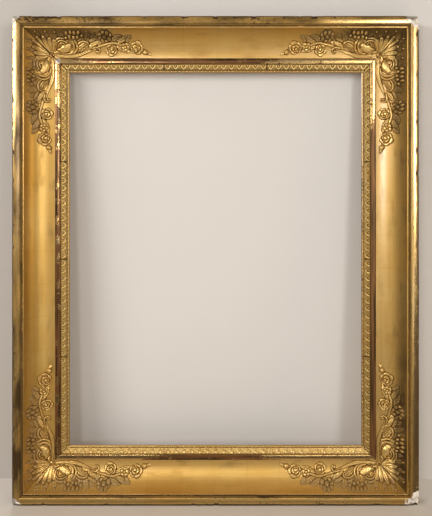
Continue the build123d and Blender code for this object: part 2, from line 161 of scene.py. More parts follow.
def swept_faces(rings, around):
    """Faces of a swept section: quads between each two rings, and a cap at each end."""
    index = np.arange(rings * around).reshape(rings, around)
    beside = np.roll(index, -1, axis=1)
    quads = np.stack([index[:-1], index[1:], beside[1:], beside[:-1]], axis=-1).reshape(-1, 4).tolist()
    return quads + [index[0].tolist(), index[-1][::-1].tolist()]


def soft_step(low, high, value):
    """Smooth ramp from 0 at low to 1 at high."""
    share = np.clip((value - low) / (high - low), 0, 1)
    return share * share * (3 - 2 * share)


print("mesh helpers", new_piece.__name__, wander.__name__, swept_faces.__name__, soft_step.__name__)

# %% [markdown]
# ## Shader groups
# Old gilding is the same story on every part of this frame: gold leaf over red-brown bole, over white gesso.
# Rubbed edges show bole, knocks show gesso, and hollows go dark with dirt and with painted shade. One node
# group tells that story from the masks of a piece, and each material gives it its own colours and amounts.
# First come short names for the node steps, so that the arithmetic of a group reads like arithmetic.

# %% Node helpers


def add_node(tree, kind, settings=None, **inputs):
    """A node whose settings and inputs are given by name; an input may be a value or another socket."""
    node = tree.nodes.new(kind)
    for key, value in (settings or {}).items():
        setattr(node, key, value)
    for key, value in inputs.items():
        slot = int(key[1:]) if key[0] == "i" and key[1:].isdigit() else key.replace("_", " ")
        if isinstance(value, bpy.types.NodeSocket):
            tree.links.new(value, node.inputs[slot])
        else:
            node.inputs[slot].default_value = value
    return node


def math_node(tree, operation, first, second=0.0, clamp=False):
    """Result of one arithmetic step."""
    settings = {"operation": operation, "use_clamp": clamp}
    return add_node(tree, "ShaderNodeMath", settings, i0=first, i1=second).outputs[0]


def times(tree, first, second, clamp=False):
    """Product of two values."""
    return math_node(tree, "MULTIPLY", first, second, clamp)


def plus(tree, first, second, clamp=False):
    """Sum of two values."""
    return math_node(tree, "ADD", first, second, clamp)


def minus(tree, first, second, clamp=False):
    """Difference of two values."""
    return math_node(tree, "SUBTRACT", first, second, clamp)


def most(tree, first, second):
    """Larger of two values."""
    return math_node(tree, "MAXIMUM", first, second)


def off_middle(tree, value, amount):
    """How far a noise value lies above or below its middle, times an amount."""
    return times(tree, minus(tree, value, 0.5), amount)


def mix_colour(tree, factor, first, second, blend="MIX"):
    """Two colours mixed by a factor."""
    settings = {"data_type": "RGBA", "blend_type": blend}
    return add_node(tree, "ShaderNodeMix", settings, i0=factor, i6=first, i7=second).outputs[2]


def mix_value(tree, factor, first, second):
    """Two values mixed by a factor."""
    return add_node(tree, "ShaderNodeMix", {"data_type": "FLOAT"}, i0=factor, i2=first, i3=second).outputs[0]


def ramp(tree, value, low, high):
    """Smooth ramp from 0 to 1 between two values."""
    settings = {"interpolation_type": "SMOOTHSTEP", "clamp": True}
    return add_node(tree, "ShaderNodeMapRange", settings, i0=value, i1=low, i2=high).outputs[0]


def noise(tree, vector, scale, detail=3.0, roughness=0.55):
    """Noise value over a vector."""
    return add_node(tree, "ShaderNodeTexNoise", None, Vector=vector, Scale=scale, Detail=detail,
                    Roughness=roughness).outputs[0]


def stretched(tree, vector, scale):
    """A vector with its own scale on each axis, for noise that runs in streaks."""
    return add_node(tree, "ShaderNodeMapping", None, Vector=vector, Scale=scale).outputs[0]


def object_place(tree):
    """Place of a point on its own piece."""
    return tree.nodes.new("ShaderNodeTexCoord").outputs["Object"]


def new_group(name, inputs, outputs):
    """Shader node group with named sockets; returns the tree, its input node and its output node."""
    tree = bpy.data.node_groups.new(name, "ShaderNodeTree")
    for label, kind, default in inputs:
        socket = tree.interface.new_socket(label, in_out="INPUT", socket_type=kind)
        if default is not None:
            socket.default_value = default
    for label, kind in outputs:
        tree.interface.new_socket(label, in_out="OUTPUT", socket_type=kind)
    return tree, tree.nodes.new("NodeGroupInput"), tree.nodes.new("NodeGroupOutput")


print("node steps", [step.__name__ for step in (times, plus, minus, most, off_middle, ramp, noise)])

# %% [markdown]
# ## What the gilding group is given
# The masks come from the mesh, and the colours and amounts from the material. `Rail Place` holds how far a
# point lies along its rail and round its section, so that leaf squares and brush streaks follow the rail.

# %% Gilding group
FLOAT = "NodeSocketFloat"
COLOUR = "NodeSocketColor"
VECTOR = "NodeSocketVector"

gilding, group_input, result = new_group(
    "old_gilding",
    [("Vector", VECTOR, None), ("Rail Place", VECTOR, None), ("Edge", FLOAT, 0.0), ("Cavity", FLOAT, 0.0),
     ("Chip", FLOAT, 0.0), ("Side", FLOAT, 0.0), ("Burnish", FLOAT, 0.0), ("Sheen", FLOAT, 0.0),
     ("Pale Gold", COLOUR, (0.72, 0.47, 0.15, 1)), ("Deep Gold", COLOUR, (0.6, 0.34, 0.075, 1)),
     ("Bole", COLOUR, (0.085, 0.031, 0.013, 1)), ("Gesso", COLOUR, (0.92, 0.87, 0.8, 1)),
     ("Dirt", COLOUR, (0.042, 0.021, 0.007, 1)), ("Ochre", COLOUR, (0.32, 0.2, 0.07, 1)),
     ("Rubbing", FLOAT, 0.5), ("Dirtiness", FLOAT, 0.6), ("Smudge", FLOAT, 0.22),
     ("Matt Roughness", FLOAT, 0.42), ("Burnished Roughness", FLOAT, 0.2), ("Matt Metal", FLOAT, 0.85),
     ("Size Coat", FLOAT, 0.85), ("Matt Coat", FLOAT, 0.75), ("Grain Scale", FLOAT, 900.0)],
    [("Color", COLOUR), ("Metallic", FLOAT), ("Roughness", FLOAT), ("Varnish", FLOAT), ("Height", FLOAT)],
)
given = group_input.outputs
patches = noise(gilding, given["Vector"], 11.0, 4.0)
speckle = noise(gilding, given["Vector"], 170.0, 4.0, 0.65)
grain = noise(gilding, given["Vector"], given["Grain Scale"], 2.0)
streaks = noise(gilding, stretched(gilding, given["Rail Place"], (5.0, 160.0, 1.0)), 1.0, 3.0)
smears = noise(gilding, stretched(gilding, given["Rail Place"], (14.0, 42.0, 1.0)), 1.0, 4.0)
print("old_gilding starts from", len(gilding.nodes), "nodes")

# %% [markdown]
# ## Squares of leaf
# Squares of leaf overlap by a few millimetres, and each square took the light a little differently. The gold
# runs from deep to pale with soft patches, brush streaks, its square and the laps between squares.

# %% Tone of the gold
LEAF_SIZE = 0.08
LEAF_WAVER = 0.12
LAP_SHARE = 0.05

rail_along = add_node(gilding, "ShaderNodeSeparateXYZ", None, i0=given["Rail Place"]).outputs[0]
leaf_place = math_node(gilding, "DIVIDE", rail_along, LEAF_SIZE)
leaf_place = plus(gilding, leaf_place, times(gilding, patches, LEAF_WAVER))
lap = math_node(gilding, "LESS_THAN", math_node(gilding, "FRACT", leaf_place), LAP_SHARE)
leaf_number = math_node(gilding, "FLOOR", leaf_place)
leaf_tone = add_node(gilding, "ShaderNodeTexWhiteNoise", {"noise_dimensions": "1D"}, W=leaf_number).outputs[0]
tone = plus(gilding, times(gilding, patches, 0.7), times(gilding, streaks, 0.5))
tone = plus(gilding, tone, times(gilding, leaf_tone, 0.08))
tone = minus(gilding, tone, times(gilding, lap, 0.06))
gold = mix_colour(gilding, ramp(gilding, tone, 0.35, 1.0), given["Deep Gold"], given["Pale Gold"])
print("leaf squares of", LEAF_SIZE, "metres")

# %% [markdown]
# ## Wear over the gold
# Each mask is broken up by noise before it is used, so that rubbing, darkening and chips have ragged edges.
# The
# layers then follow one another: bole where the gold is rubbed, ochre on the sides, gesso in the chips and,
# over everything, a dark that is partly dirt and partly painted shade.

# %% Rubbing, dirt with painted shade, and chips
rub = times(gilding, given["Edge"], given["Rubbing"])
rub = plus(gilding, rub, off_middle(gilding, speckle, 0.9))
rub = plus(gilding, rub, off_middle(gilding, patches, 0.5))
rubbed = ramp(gilding, rub, 0.42, 0.62)
# The cavity mask darkens towards the dark colour: partly real dirt and partly painted shade, in hollows,
# round the ornament, at the foot of the scotia and as a painted shadow along the bottom edge.
dirt_and_shade = times(gilding, given["Cavity"], given["Dirtiness"])
dirt_and_shade = times(gilding, dirt_and_shade, plus(gilding, 0.55, patches), True)
dirt_and_shade = plus(gilding, dirt_and_shade, times(gilding, ramp(gilding, smears, 0.52, 0.75), given["Smudge"]), True)
chip = plus(gilding, given["Chip"], off_middle(gilding, speckle, 0.8))
chipped = times(gilding, ramp(gilding, chip, 0.42, 0.52), ramp(gilding, given["Chip"], 0.02, 0.1))

bole = mix_colour(gilding, ramp(gilding, streaks, 0.42, 0.62), given["Bole"], given["Dirt"])
ochre = mix_colour(gilding, speckle, given["Ochre"], given["Dirt"])
gesso = mix_colour(gilding, ramp(gilding, speckle, 0.42, 0.75), given["Gesso"], given["Ochre"])
colour = mix_colour(gilding, rubbed, gold, bole)
colour = mix_colour(gilding, given["Side"], colour, ochre)
colour = mix_colour(gilding, chipped, colour, gesso)
colour = mix_colour(gilding, dirt_and_shade, colour, given["Dirt"])
print("old_gilding has its colours after", len(gilding.nodes), "nodes")

# %% Metal, gloss and height
# Where the surface is darkened, by dirt and by painted shade, it loses its metal and turns rough.
RUBBED_BARE, DARKENED_BARE = 0.62, 0.8
CHALKY, DARKENED_ROUGHNESS = 0.85, 0.75

uncovered = most(gilding, chipped, given["Side"])
bare = most(gilding, times(gilding, rubbed, RUBBED_BARE), uncovered)
bare = most(gilding, bare, times(gilding, dirt_and_shade, DARKENED_BARE))
full_metal = mix_value(gilding, given["Burnish"], given["Matt Metal"], 1.0)
metallic = times(gilding, minus(gilding, 1.0, bare, True), full_metal)
rough = mix_value(gilding, given["Burnish"], given["Matt Roughness"], given["Burnished Roughness"])
rough = plus(gilding, rough, off_middle(gilding, streaks, 0.15))
rough = mix_value(gilding, uncovered, rough, CHALKY)
rough = mix_value(gilding, dirt_and_shade, rough, DARKENED_ROUGHNESS)
height = plus(gilding, times(gilding, grain, 0.35), times(gilding, speckle, plus(gilding, 0.3, chipped)))
height = minus(gilding, height, times(gilding, rubbed, 0.35))
coat = times(gilding, given["Sheen"], given["Matt Coat"])
coat = mix_value(gilding, given["Burnish"], coat, given["Size Coat"])
coat = mix_value(gilding, rubbed, coat, times(gilding, given["Burnish"], 0.08))
coat = mix_value(gilding, chipped, coat, 0.0)
varnish = times(gilding, coat, minus(gilding, 1.0, dirt_and_shade, True))
for label, socket in (("Color", colour), ("Metallic", metallic), ("Roughness", rough), ("Varnish", varnish),
                      ("Height", height)):
    gilding.links.new(socket, result.inputs[label])
print("old_gilding has", len(gilding.nodes), "nodes")

# %% [markdown]
# ## Three gildings
# The mouldings are matt, the sight edge is burnished over a redder ground, and the pressed ornament is a
# warmer leaf with more dirt and more painted shade in its hollows. All three place the same group and differ
# only in its amounts.

# %% Gilded materials
EDGE_TINT = (1.0, 0.78, 0.42, 1)
VARNISH_ROUGHNESS, VARNISH_IOR = 0.25, 1.8
GRAIN_HEIGHT = 0.0006
MASKS = ("edge", "cavity", "chip", "side", "burnish", "sheen")
SOCKETS = {"Color": "Base Color", "Metallic": "Metallic", "Roughness": "Roughness", "Varnish": "Coat Weight"}


def gilded_material(name, bump, **amounts):
    """Material that places the gilding group with its own colours and amounts."""
    material = bpy.data.materials.new(name)
    material.use_nodes = True
    tree = material.node_tree
    shader = tree.nodes["Principled BSDF"]
    shader.inputs["Coat Roughness"].default_value = VARNISH_ROUGHNESS
    shader.inputs["Coat IOR"].default_value = VARNISH_IOR
    shader.inputs["Specular Tint"].default_value = EDGE_TINT
    group = add_node(tree, "ShaderNodeGroup", {"node_tree": gilding}, Vector=object_place(tree))
    for mask in MASKS:
        mask_node = add_node(tree, "ShaderNodeAttribute", {"attribute_name": mask})
        tree.links.new(mask_node.outputs["Fac"], group.inputs[mask.capitalize()])
    rail = add_node(tree, "ShaderNodeAttribute", {"attribute_name": "rail_place"})
    tree.links.new(rail.outputs["Vector"], group.inputs["Rail Place"])
    for label, value in amounts.items():
        group.inputs[label.replace("_", " ")].default_value = value
    for label, socket in SOCKETS.items():
        tree.links.new(group.outputs[label], shader.inputs[socket])
    relief = add_node(tree, "ShaderNodeBump", None, Strength=bump, Distance=GRAIN_HEIGHT,
                      Height=group.outputs["Height"])
    tree.links.new(relief.outputs["Normal"], shader.inputs["Normal"])
    return material


matte_gold = gilded_material("matte_gold", 0.25, Rubbing=0.75, Dirtiness=0.6)
burnished_gold = gilded_material("burnished_gold", 0.2, Rubbing=0.9, Dirtiness=0.8,
                                 Bole=(0.2, 0.085, 0.03, 1))
# The pressed ornament is darkened more in its hollows, partly with dirt and partly with painted shade.
pressed_gold = gilded_material("pressed_gold", 0.3, Matt_Coat=0.5, Matt_Roughness=0.34, Matt_Metal=0.92,
                               Rubbing=0.1, Dirtiness=0.95,
                               Pale_Gold=(0.92, 0.645, 0.215, 1), Deep_Gold=(0.72, 0.44, 0.12, 1),
                               Dirt=(0.065, 0.03, 0.008, 1), Ochre=(0.38, 0.14, 0.015, 1))
print("gilded materials", matte_gold.name, burnished_gold.name, pressed_gold.name)

# %% [markdown]
# ## The mouldings
# A joiner ran this profile with a plane, and a gilder coated it, so its edges are soft and its faces wave a
# little. The section is drawn once as lines and arcs, in millimetres inwards from the outer edge and back
# from the front. The scotia is two arcs that meet at one slope, so its radii follow from its size.

# %% Sizes of the section
RIM_WIDTH, RIM_ROUND, RIM_CROWN = 19.0, 2.5, 0.8
QUIRK_WIDTH, QUIRK_DEPTH = 2.5, 5.0
FILLET_WIDTH, FILLET_DEPTH = 5.5, 3.5
SCOTIA_WIDTH, SCOTIA_DEPTH = 65.0, 44.5
STEEP_ANGLE, BREAK_ANGLE, FOOT_ANGLE = 72.0, 25.0, 8.0
STRIP_WIDTH, STRIP_RISE, STRIP_CROWN = 13.0, 3.0, 0.8
BED_DROP, LIP_WIDTH, LIP_RISE = 4.5, 5.5, 2.0
GROOVE_WIDTH, BED_WIDTH = 1.2, 14.3
FOOT_WOOD = 5.0
GILT_TURN = 8.0

scotia_start = RIM_WIDTH + QUIRK_WIDTH + FILLET_WIDTH
scotia_end = scotia_start + SCOTIA_WIDTH
groove_start = scotia_end + STRIP_WIDTH
bed_end = groove_start + GROOVE_WIDTH + BED_WIDTH
rail_width = bed_end + LIP_WIDTH
scotia_foot = FILLET_DEPTH + SCOTIA_DEPTH
strip_middle = scotia_end + STRIP_WIDTH / 2
seat_depth = scotia_foot + FOOT_WOOD
strip_front = scotia_foot - STRIP_RISE
bed_depth = strip_front + BED_DROP
lip_front = bed_depth - LIP_RISE
fillet_start = RIM_WIDTH + QUIRK_WIDTH
strip_shoulder = strip_front + STRIP_CROWN
lip_shoulder = lip_front + LIP_RISE / 2

steep, break_, foot = (math.radians(angle) for angle in (STEEP_ANGLE, BREAK_ANGLE, FOOT_ANGLE))
balance = ((math.sin(steep) - math.sin(break_)) * (math.cos(foot) - math.cos(break_))
           - (math.sin(break_) - math.sin(foot)) * (math.cos(break_) - math.cos(steep)))
wall_radius = (SCOTIA_WIDTH * (math.cos(foot) - math.cos(break_))
               - SCOTIA_DEPTH * (math.sin(break_) - math.sin(foot))) / balance
foot_radius = (SCOTIA_DEPTH * (math.sin(steep) - math.sin(break_))
               - SCOTIA_WIDTH * (math.cos(break_) - math.cos(steep))) / balance
foot_run = foot_radius * (math.sin(break_) - math.sin(foot))


def scotia_angle(reach):
    """Slope of the scotia at a distance outwards from its foot, in millimetres."""
    low = np.arcsin(np.clip(math.sin(foot) + reach / foot_radius, -1, 1))
    high = np.arcsin(np.clip(math.sin(break_) + (reach - foot_run) / wall_radius, -1, 1))
    return np.where(reach <= foot_run, low, high)


def scotia_rise(reach):
    """How far the scotia has come forward from its foot."""
    level = np.cos(scotia_angle(reach))
    low = foot_radius * (math.cos(foot) - level)
    high = foot_radius * (math.cos(foot) - math.cos(break_)) + wall_radius * (math.cos(break_) - level)
    return np.where(reach <= foot_run, low, high)


print("scotia radii", round(wall_radius, 2), round(foot_radius, 2), "rail width", rail_width)

# %% [markdown]
# ## Drawing the two sections
# A section is a list of stretches. Each stretch is a row of points with its own masks: where it is rubbed
# (edge), where it is darkened with dirt and with painted shade (cavity), where it is only painted (side),
# whether it waves with the gesso (gilt) and whether it was burnished.

# %% Sections


def line(start, end, count):
    """Points of a straight stretch, without its last one."""
    share = np.linspace(0, 1, count, endpoint=False)[:, None]
    return np.array(start) * (1 - share) + np.array(end) * share


def crown(start, end, rise, count):
    """Points of a shallow arch that rises towards the front, without its last one."""
    share = np.linspace(0, 1, count, endpoint=False)
    points = line(start, end, count)
    points[:, 1] -= rise * 4 * share * (1 - share)
    return points


def stretch(points, edge=0.0, cavity=0.0, side=0.0, gilt=1.0, burnish=0.0):
    """A stretch of a section with its masks; a mask may run from one value to another."""
    count = len(points)
    masks = []
    for mask in (edge, cavity, side, gilt, burnish):
        first, last = mask if isinstance(mask, tuple) else (mask, mask)
        masks.append(np.linspace(first, last, count))
    return points, masks


def section(stretches):
    """Joins stretches to a closed section: its points and its edge, cavity, side, gilt and burnish masks."""
    points = np.concatenate([points for points, _ in stretches])
    masks = [np.concatenate([masks[index] for _, masks in stretches]) for index in range(5)]
    return points, masks


round_turn = np.linspace(math.pi, math.pi / 2, 6, endpoint=False)
arris = np.stack([RIM_ROUND + RIM_ROUND * np.cos(round_turn),
                  RIM_CROWN + RIM_ROUND - RIM_ROUND * np.sin(round_turn)], axis=1)
scotia_reach = np.linspace(SCOTIA_WIDTH, 0, 60, endpoint=False)
scotia_points = np.stack([scotia_end - scotia_reach, scotia_foot - scotia_rise(scotia_reach)], axis=1)

moulding_section = section([
    stretch(line((0, seat_depth), (0, GILT_TURN), 12), side=1.0, gilt=0.3),
    stretch(line((0, GILT_TURN), (0, RIM_ROUND + RIM_CROWN), 4),
            edge=(0.3, 0.9), side=(1.0, 0.0), burnish=1.0),
    stretch(arris, edge=(0.9, 1.0), burnish=1.0),
    stretch(crown((RIM_ROUND, RIM_CROWN), (RIM_WIDTH - 0.6, RIM_CROWN), RIM_CROWN, 14),
            edge=(0.4, 0.3), burnish=1.0),
    stretch(line((RIM_WIDTH - 0.1, 1.3), (RIM_WIDTH, QUIRK_DEPTH), 4), edge=(0.7, 0.0), cavity=(0.3, 1.0)),
    stretch(line((RIM_WIDTH, QUIRK_DEPTH), (fillet_start, QUIRK_DEPTH), 3), cavity=1.0),
    stretch(line((fillet_start, QUIRK_DEPTH), (fillet_start + 0.2, FILLET_DEPTH + 0.3), 2),
            cavity=(1.0, 0.4)),
    stretch(line((fillet_start + 0.6, FILLET_DEPTH), (scotia_start - 1.5, FILLET_DEPTH), 4),
            edge=(1.0, 0.85), cavity=(0.5, 0.3)),
    stretch(line((scotia_start - 1.2, FILLET_DEPTH - 0.05), (scotia_start - 0.4, FILLET_DEPTH), 3),
            burnish=0.8),
    stretch(line((scotia_start - 0.3, FILLET_DEPTH), (scotia_start, FILLET_DEPTH + 0.4), 2),
            edge=0.1, burnish=0.8),
    stretch(scotia_points[1:], edge=(0.12, 0.0)),
    stretch(line((scotia_end, scotia_foot), (scotia_end, seat_depth), 3), cavity=1.0, gilt=0.0),
    stretch(line((scotia_end, seat_depth), (0, seat_depth), 8), side=1.0, gilt=0.0),
])
sight_section = section([
    stretch(line((scotia_end, seat_depth), (scotia_end, strip_shoulder + 0.4), 4), cavity=1.0, gilt=0.0),
    stretch(line((scotia_end + 0.1, strip_shoulder), (scotia_end + 1.0, strip_front + 0.5), 2),
            edge=0.9, burnish=1.0),
    stretch(crown((scotia_end + 1.5, strip_front + 0.4), (groove_start - 1.5, strip_front + 0.4), 0.4, 10),
            edge=0.75, burnish=1.0),
    stretch(line((groove_start - 1.0, strip_front + 0.5), (groove_start - 0.1, strip_shoulder), 2),
            edge=0.9, burnish=1.0),
    stretch(line((groove_start, strip_shoulder + 0.4), (groove_start, bed_depth), 4), cavity=(0.5, 1.0)),
    stretch(line((groove_start, bed_depth), (bed_end, bed_depth), 8), cavity=1.0, gilt=0.0),
    stretch(line((bed_end, bed_depth), (bed_end, lip_shoulder), 2), cavity=1.0),
    stretch(crown((bed_end, lip_shoulder), (rail_width, lip_shoulder), LIP_RISE / 2, 8),
            edge=(0.2, 0.35), cavity=(0.9, 0.15), burnish=0.5),
    stretch(line((rail_width, lip_shoulder), (rail_width, seat_depth), 4), side=(0.0, 1.0), edge=0.3),
    stretch(line((rail_width, seat_depth), (scotia_end, seat_depth), 8), side=1.0, gilt=0.0),
])
print("section points", len(moulding_section[0]), len(sight_section[0]))

# %% [markdown]
# ## Two centuries of knocks
# The four outer corners have lost their points, the outer edge is nicked, most of all at the left end of the
# top, and the mitres have opened a little. The wear is worked out on the points of the sweep, so it is real
# shape and not only colour.

# %% Damage to the outer edge
# A chip is given for a corner: how far the missing piece ran across, up and back from the front.
CHIPS = {
    (-1, 1): (18.0, 16.0, 7.0),
    (1, 1): (30.0, 28.0, 10.0),
    (-1, -1): (20.0, 18.0, 9.0),
    (1, -1): (30.0, 34.0, 10.0),
}
CHIP_BREAK = 0.22
NICK_REACH = 5.0
NICK_COUNT = 22
NICK_MARGIN = 20
MIDDLE_NICK = (4.0, 1.8)
TOP_NICKS, TOP_NICK_DEPTH = ((50, 3), (61, 5), (79, 3), (92, 4), (113, 3)), 1.3


def knock_corners(points):
    """Breaks the four outer corners off a set of points; returns how bare each point is left."""
    bare = np.zeros(len(points))
    for (right, up), (along_x, along_z, back) in CHIPS.items():
        inward = np.stack([WIDTH / 2 - right * points[:, 0], points[:, 1] - FRONT,
                           (HEIGHT - points[:, 2]) if up > 0 else points[:, 2]], axis=1) / MM
        slope = np.array([1 / along_x, 1 / back, 1 / along_z])
        level = inward @ slope - 1 + CHIP_BREAK * wander(points, 0.011, 40 + right + 3 * up)
        push = np.where(level < 0, -level, 0) / (slope @ slope)
        points += push[:, None] * slope * np.array([-right, 1, -up]) * MM
        bare = np.maximum(bare, soft_step(0.6, 0.0, level))
    return bare


def nicks(name, along, inward, depth):
    """How deep the outer edge of one side is nicked at each point, in millimetres."""
    draw = np.random.default_rng(sum(map(ord, name)))
    length = SIDES[name]["length"] / MM
    total = np.zeros(along.shape)
    places = list(zip(draw.uniform(NICK_MARGIN, length - NICK_MARGIN, NICK_COUNT),
                      draw.uniform(1.2, 5.0, NICK_COUNT), draw.uniform(0.3, 1.1, NICK_COUNT)))
    if name in ("top", "bottom"):
        places.append((length / 2, *MIDDLE_NICK))
    if name == "top":
        places += [(length - offset, spread, TOP_NICK_DEPTH) for offset, spread in TOP_NICKS]
    near_edge = np.exp(-(inward ** 2 + depth ** 2) / NICK_REACH ** 2)
    for place, spread, deep in places:
        total += deep * np.exp(-((along - place) / spread) ** 2)
    return total * near_edge


def stations(length, fine=1.6, coarse=5.0, corner=44.0):
    """Shares of a side's length for its rings, closer together near the corners."""
    near = np.arange(0, corner, fine)
    middle = np.linspace(corner, length - corner, int((length - 2 * corner) / coarse))
    return np.concatenate([near, middle, length - near[::-1]]) / length


print("chips", len(CHIPS), "nicks on a side", NICK_COUNT)

# %% [markdown]
# ## Where the dirt and the painted shade lie
# The outer moulding is darkened by side, partly with dust and soot and partly with painted shade: the steep
# part of the scotia on the right and the top and near the corners, and the rim on the top and the left, more
# towards the bottom on the left. The foot of the scotia on the bottom and the left has painted shade, and a
# painted shadow runs along the outer edge of the bottom. The strip beside the sight edge is worn to its bole
# along the middle of the top and bottom and most of the two uprights, and it has kept its gold at the ends.

# %% Dirt, painted shade and wear by side
# Darkening of the steep part, the corners and the rim is partly dirt and partly painted shade; the darkening
# at the foot of the scotia is painted shade.
STEEP_DIRT_AND_SHADE = {"bottom": 0.0, "right": 0.95, "top": 0.42, "left": 0.0}
CORNER_DIRT_AND_SHADE = {"bottom": 0.5, "right": 0.3, "top": 0.85, "left": 0.3}
RIM_DIRT_AND_SHADE = {"bottom": 0.6, "right": 0.6, "top": 1.25, "left": 1.15}
RIM_START = {"bottom": 7.0, "right": 11.0, "top": -7.0, "left": 7.0}
PAINTED_FOOT_SHADE = {"bottom": 0.55, "right": 0.0, "top": 0.0, "left": 0.45}
SOOT_AT, SOOT_SIZE = (0.04, 0.004), (0.075, 0.014)
INNER_CHIP, INNER_CHIP_DEPTH = 6.5, 0.8
STRIP_WORN = {"bottom": (-0.154, 0.122), "right": (0.06, 0.905), "top": (-0.314, 0.137),
              "left": (0.06, 0.93)}
WORN_FADE, WORN_LAG = 0.03, 0.0035


def top_left_damage(points, depth, bare):
    """Soot on the rim and a broken place on the strip, both at the top left corner."""
    across = points[:, 0] + WIDTH / 2
    down = points[:, 2] - HEIGHT
    gap = np.hypot((across - SOOT_AT[0]) / SOOT_SIZE[0], (down + SOOT_AT[1]) / SOOT_SIZE[1])
    soot = soft_step(1.1, 0.5, gap + 0.4 * wander(points, 0.012, 61)) * (depth < 6)
    soot *= (1 - soft_step(0.5, 0.9, bare)) * soft_step(-0.45, 0.15, wander(points, 0.006, 63))
    inner_gap = np.hypot(across - strip_middle * MM, down + strip_middle * MM) / MM
    broken = soft_step(1.3, 0.8, inner_gap / INNER_CHIP + 0.3 * wander(points, 0.006, 62))
    return soot, broken


def rail_grime_and_shade(name, along, inward, to_mitre, level, bright_end):
    """Dirt and painted shade on the outer moulding: steep part, corners, rim, bottom edge and scotia foot."""
    steep_part = soft_step(scotia_start + 42, scotia_start + 6, inward) * (inward > scotia_start + 0.5)
    grime_and_shade = steep_part * (STEEP_DIRT_AND_SHADE[name] + CORNER_DIRT_AND_SHADE[name] * soft_step(240, 90, to_mitre))
    # Painted shade: on the left the rim darkens over more of its width, and more strongly, towards the
    # bottom.
    rim_start = RIM_START[name] - 14.0 * soft_step(0.85, 0.6, level) * (name == "left")
    on_rim = soft_step(rim_start, rim_start + 8, inward) * (inward < RIM_WIDTH + 0.2) * (1 - bright_end)
    blotch = wander(np.stack([along / 14, inward / 2], axis=-1), 11.0, 64, 5)
    lower_left_shade = 1 + 0.4 * soft_step(0.5, 0.25, level) * (name == "left")
    grime_and_shade = np.maximum(grime_and_shade, on_rim * RIM_DIRT_AND_SHADE[name] * lower_left_shade * (0.8 + 0.3 * blotch))
    # Painted shadow: a dark band along the outer edge of the bottom rail, where it stands on the floor.
    if name == "bottom":
        grime_and_shade = np.maximum(grime_and_shade, 1.6 * soft_step(5.6, 3.6, inward))
    # Painted shade at the foot of the scotia, stronger low down.
    low_foot_shade = PAINTED_FOOT_SHADE[name] * (1 - 0.8 * soft_step(0.45, 0.95, level))
    grime_and_shade = np.maximum(grime_and_shade, low_foot_shade * soft_step(scotia_start + 36, scotia_start + 58, inward))
    if name == "right":
        grime_and_shade = grime_and_shade + 0.4 * steep_part * soft_step(0.5, 0.2, level)
    return grime_and_shade


def strip_wear(name, points, inward):
    """Where the strip has kept its gold, its dirty left end on the top and its worn stretch on the right."""
    place = points[:, 0] if name in ("top", "bottom") else points[:, 2]
    place = (place + 0.015 * wander(points, 0.05, 65)).reshape(inward.shape)
    lag = WORN_LAG * (inward - strip_middle)
    worn_low, worn_high = STRIP_WORN[name]
    kept = 1 - (soft_step(-WORN_FADE, WORN_FADE, place - worn_low - lag)
                * soft_step(WORN_FADE, -WORN_FADE, place - worn_high + lag))
    return kept, kept * (place < 0) * (name == "top"), (1 - kept) * (name == "right")


# The foot darkening counted here is painted shade.
print("sides with dirt at the foot", [name for name in SIDES if PAINTED_FOOT_SHADE[name] > 0])

# %% [markdown]
# ## Sweeping the rails
# Each rail is its section repeated between two mitres, closer together near the corners, where the chips
# are. The gesso waves by about a sixth of a millimetre. The eight sweeps take the place of the plain CAD
# mouldings.

# %% Sweep the mouldings
WAVE_HEIGHT, WAVE_LENGTH = 0.16, 130.0
ORDER = ("bottom", "right", "top", "left")
MITRE_OPENING = {("top", "left"): 0.45, ("bottom", "right"): 0.3, ("right", "top"): 0.2,
                 ("left", "bottom"): 0.2}
WIDEST_OPENING = 0.45
CRACK_REACH, LEAST_CRACK = 1.1, 0.25
RIM_BURNISH = {"bottom": 0.7, "right": 1.0, "top": 0.25, "left": 1.0}
FILLET_BURNISH = {"bottom": 0.8, "right": 0.15, "top": 0.8, "left": 0.6}
SHEEN = {"bottom": 0.15, "right": 1.33, "top": 0.9, "left": 0.15}
RIM_RUB = {"bottom": 0.1, "right": 0.0, "top": 0.2, "left": 0.1}
STRIP_FLECKS = {"bottom": 0.12, "right": 0.1, "top": 0.12, "left": 0.45}


def section_normals(outline):
    """Outward normals of a closed section."""
    tangent = np.roll(outline, -1, axis=0) - np.roll(outline, 1, axis=0)
    tangent /= np.linalg.norm(tangent, axis=1)[:, None]
    return np.stack([tangent[:, 1], -tangent[:, 0]], axis=1)


def rail_grid(name, outline, gilt, outer):
    """Rings of a rail between its mitres: along, inward, depth, nicks, distance to a mitre and its crack."""
    length = SIDES[name]["length"] / MM
    share = stations(length)[:, None]
    turn = ORDER.index(name)
    gaps = [MITRE_OPENING[ORDER[turn - 1], name], MITRE_OPENING[name, ORDER[(turn + 1) % 4]]]
    inward = np.broadcast_to(outline[:, 0], (len(share), len(outline)))
    depth = np.broadcast_to(outline[:, 1], inward.shape)
    closing = soft_step(4.0, 24.0, inward)
    free = length - 2 * inward - (gaps[0] + gaps[1]) * closing
    along = inward + gaps[0] * closing + free * share
    places = np.stack([along, inward, depth], axis=-1)
    sunk = nicks(name, along, inward, depth) * outer
    lift = WAVE_HEIGHT * wander(places, WAVE_LENGTH, 7 + turn) * gilt - sunk
    normal = section_normals(outline)
    inward = inward + normal[:, 0] * lift
    depth = depth + normal[:, 1] * lift
    to_mitre = np.minimum(along - inward - gaps[0] * closing, length - inward - along - gaps[1] * closing)
    opening = np.where(share < 0.5, gaps[0], gaps[1]) / WIDEST_OPENING
    crack = np.exp(-(np.maximum(to_mitre, 0) / CRACK_REACH) ** 2) * np.clip(opening, LEAST_CRACK, 1)
    return along, inward, depth, sunk, to_mitre, crack


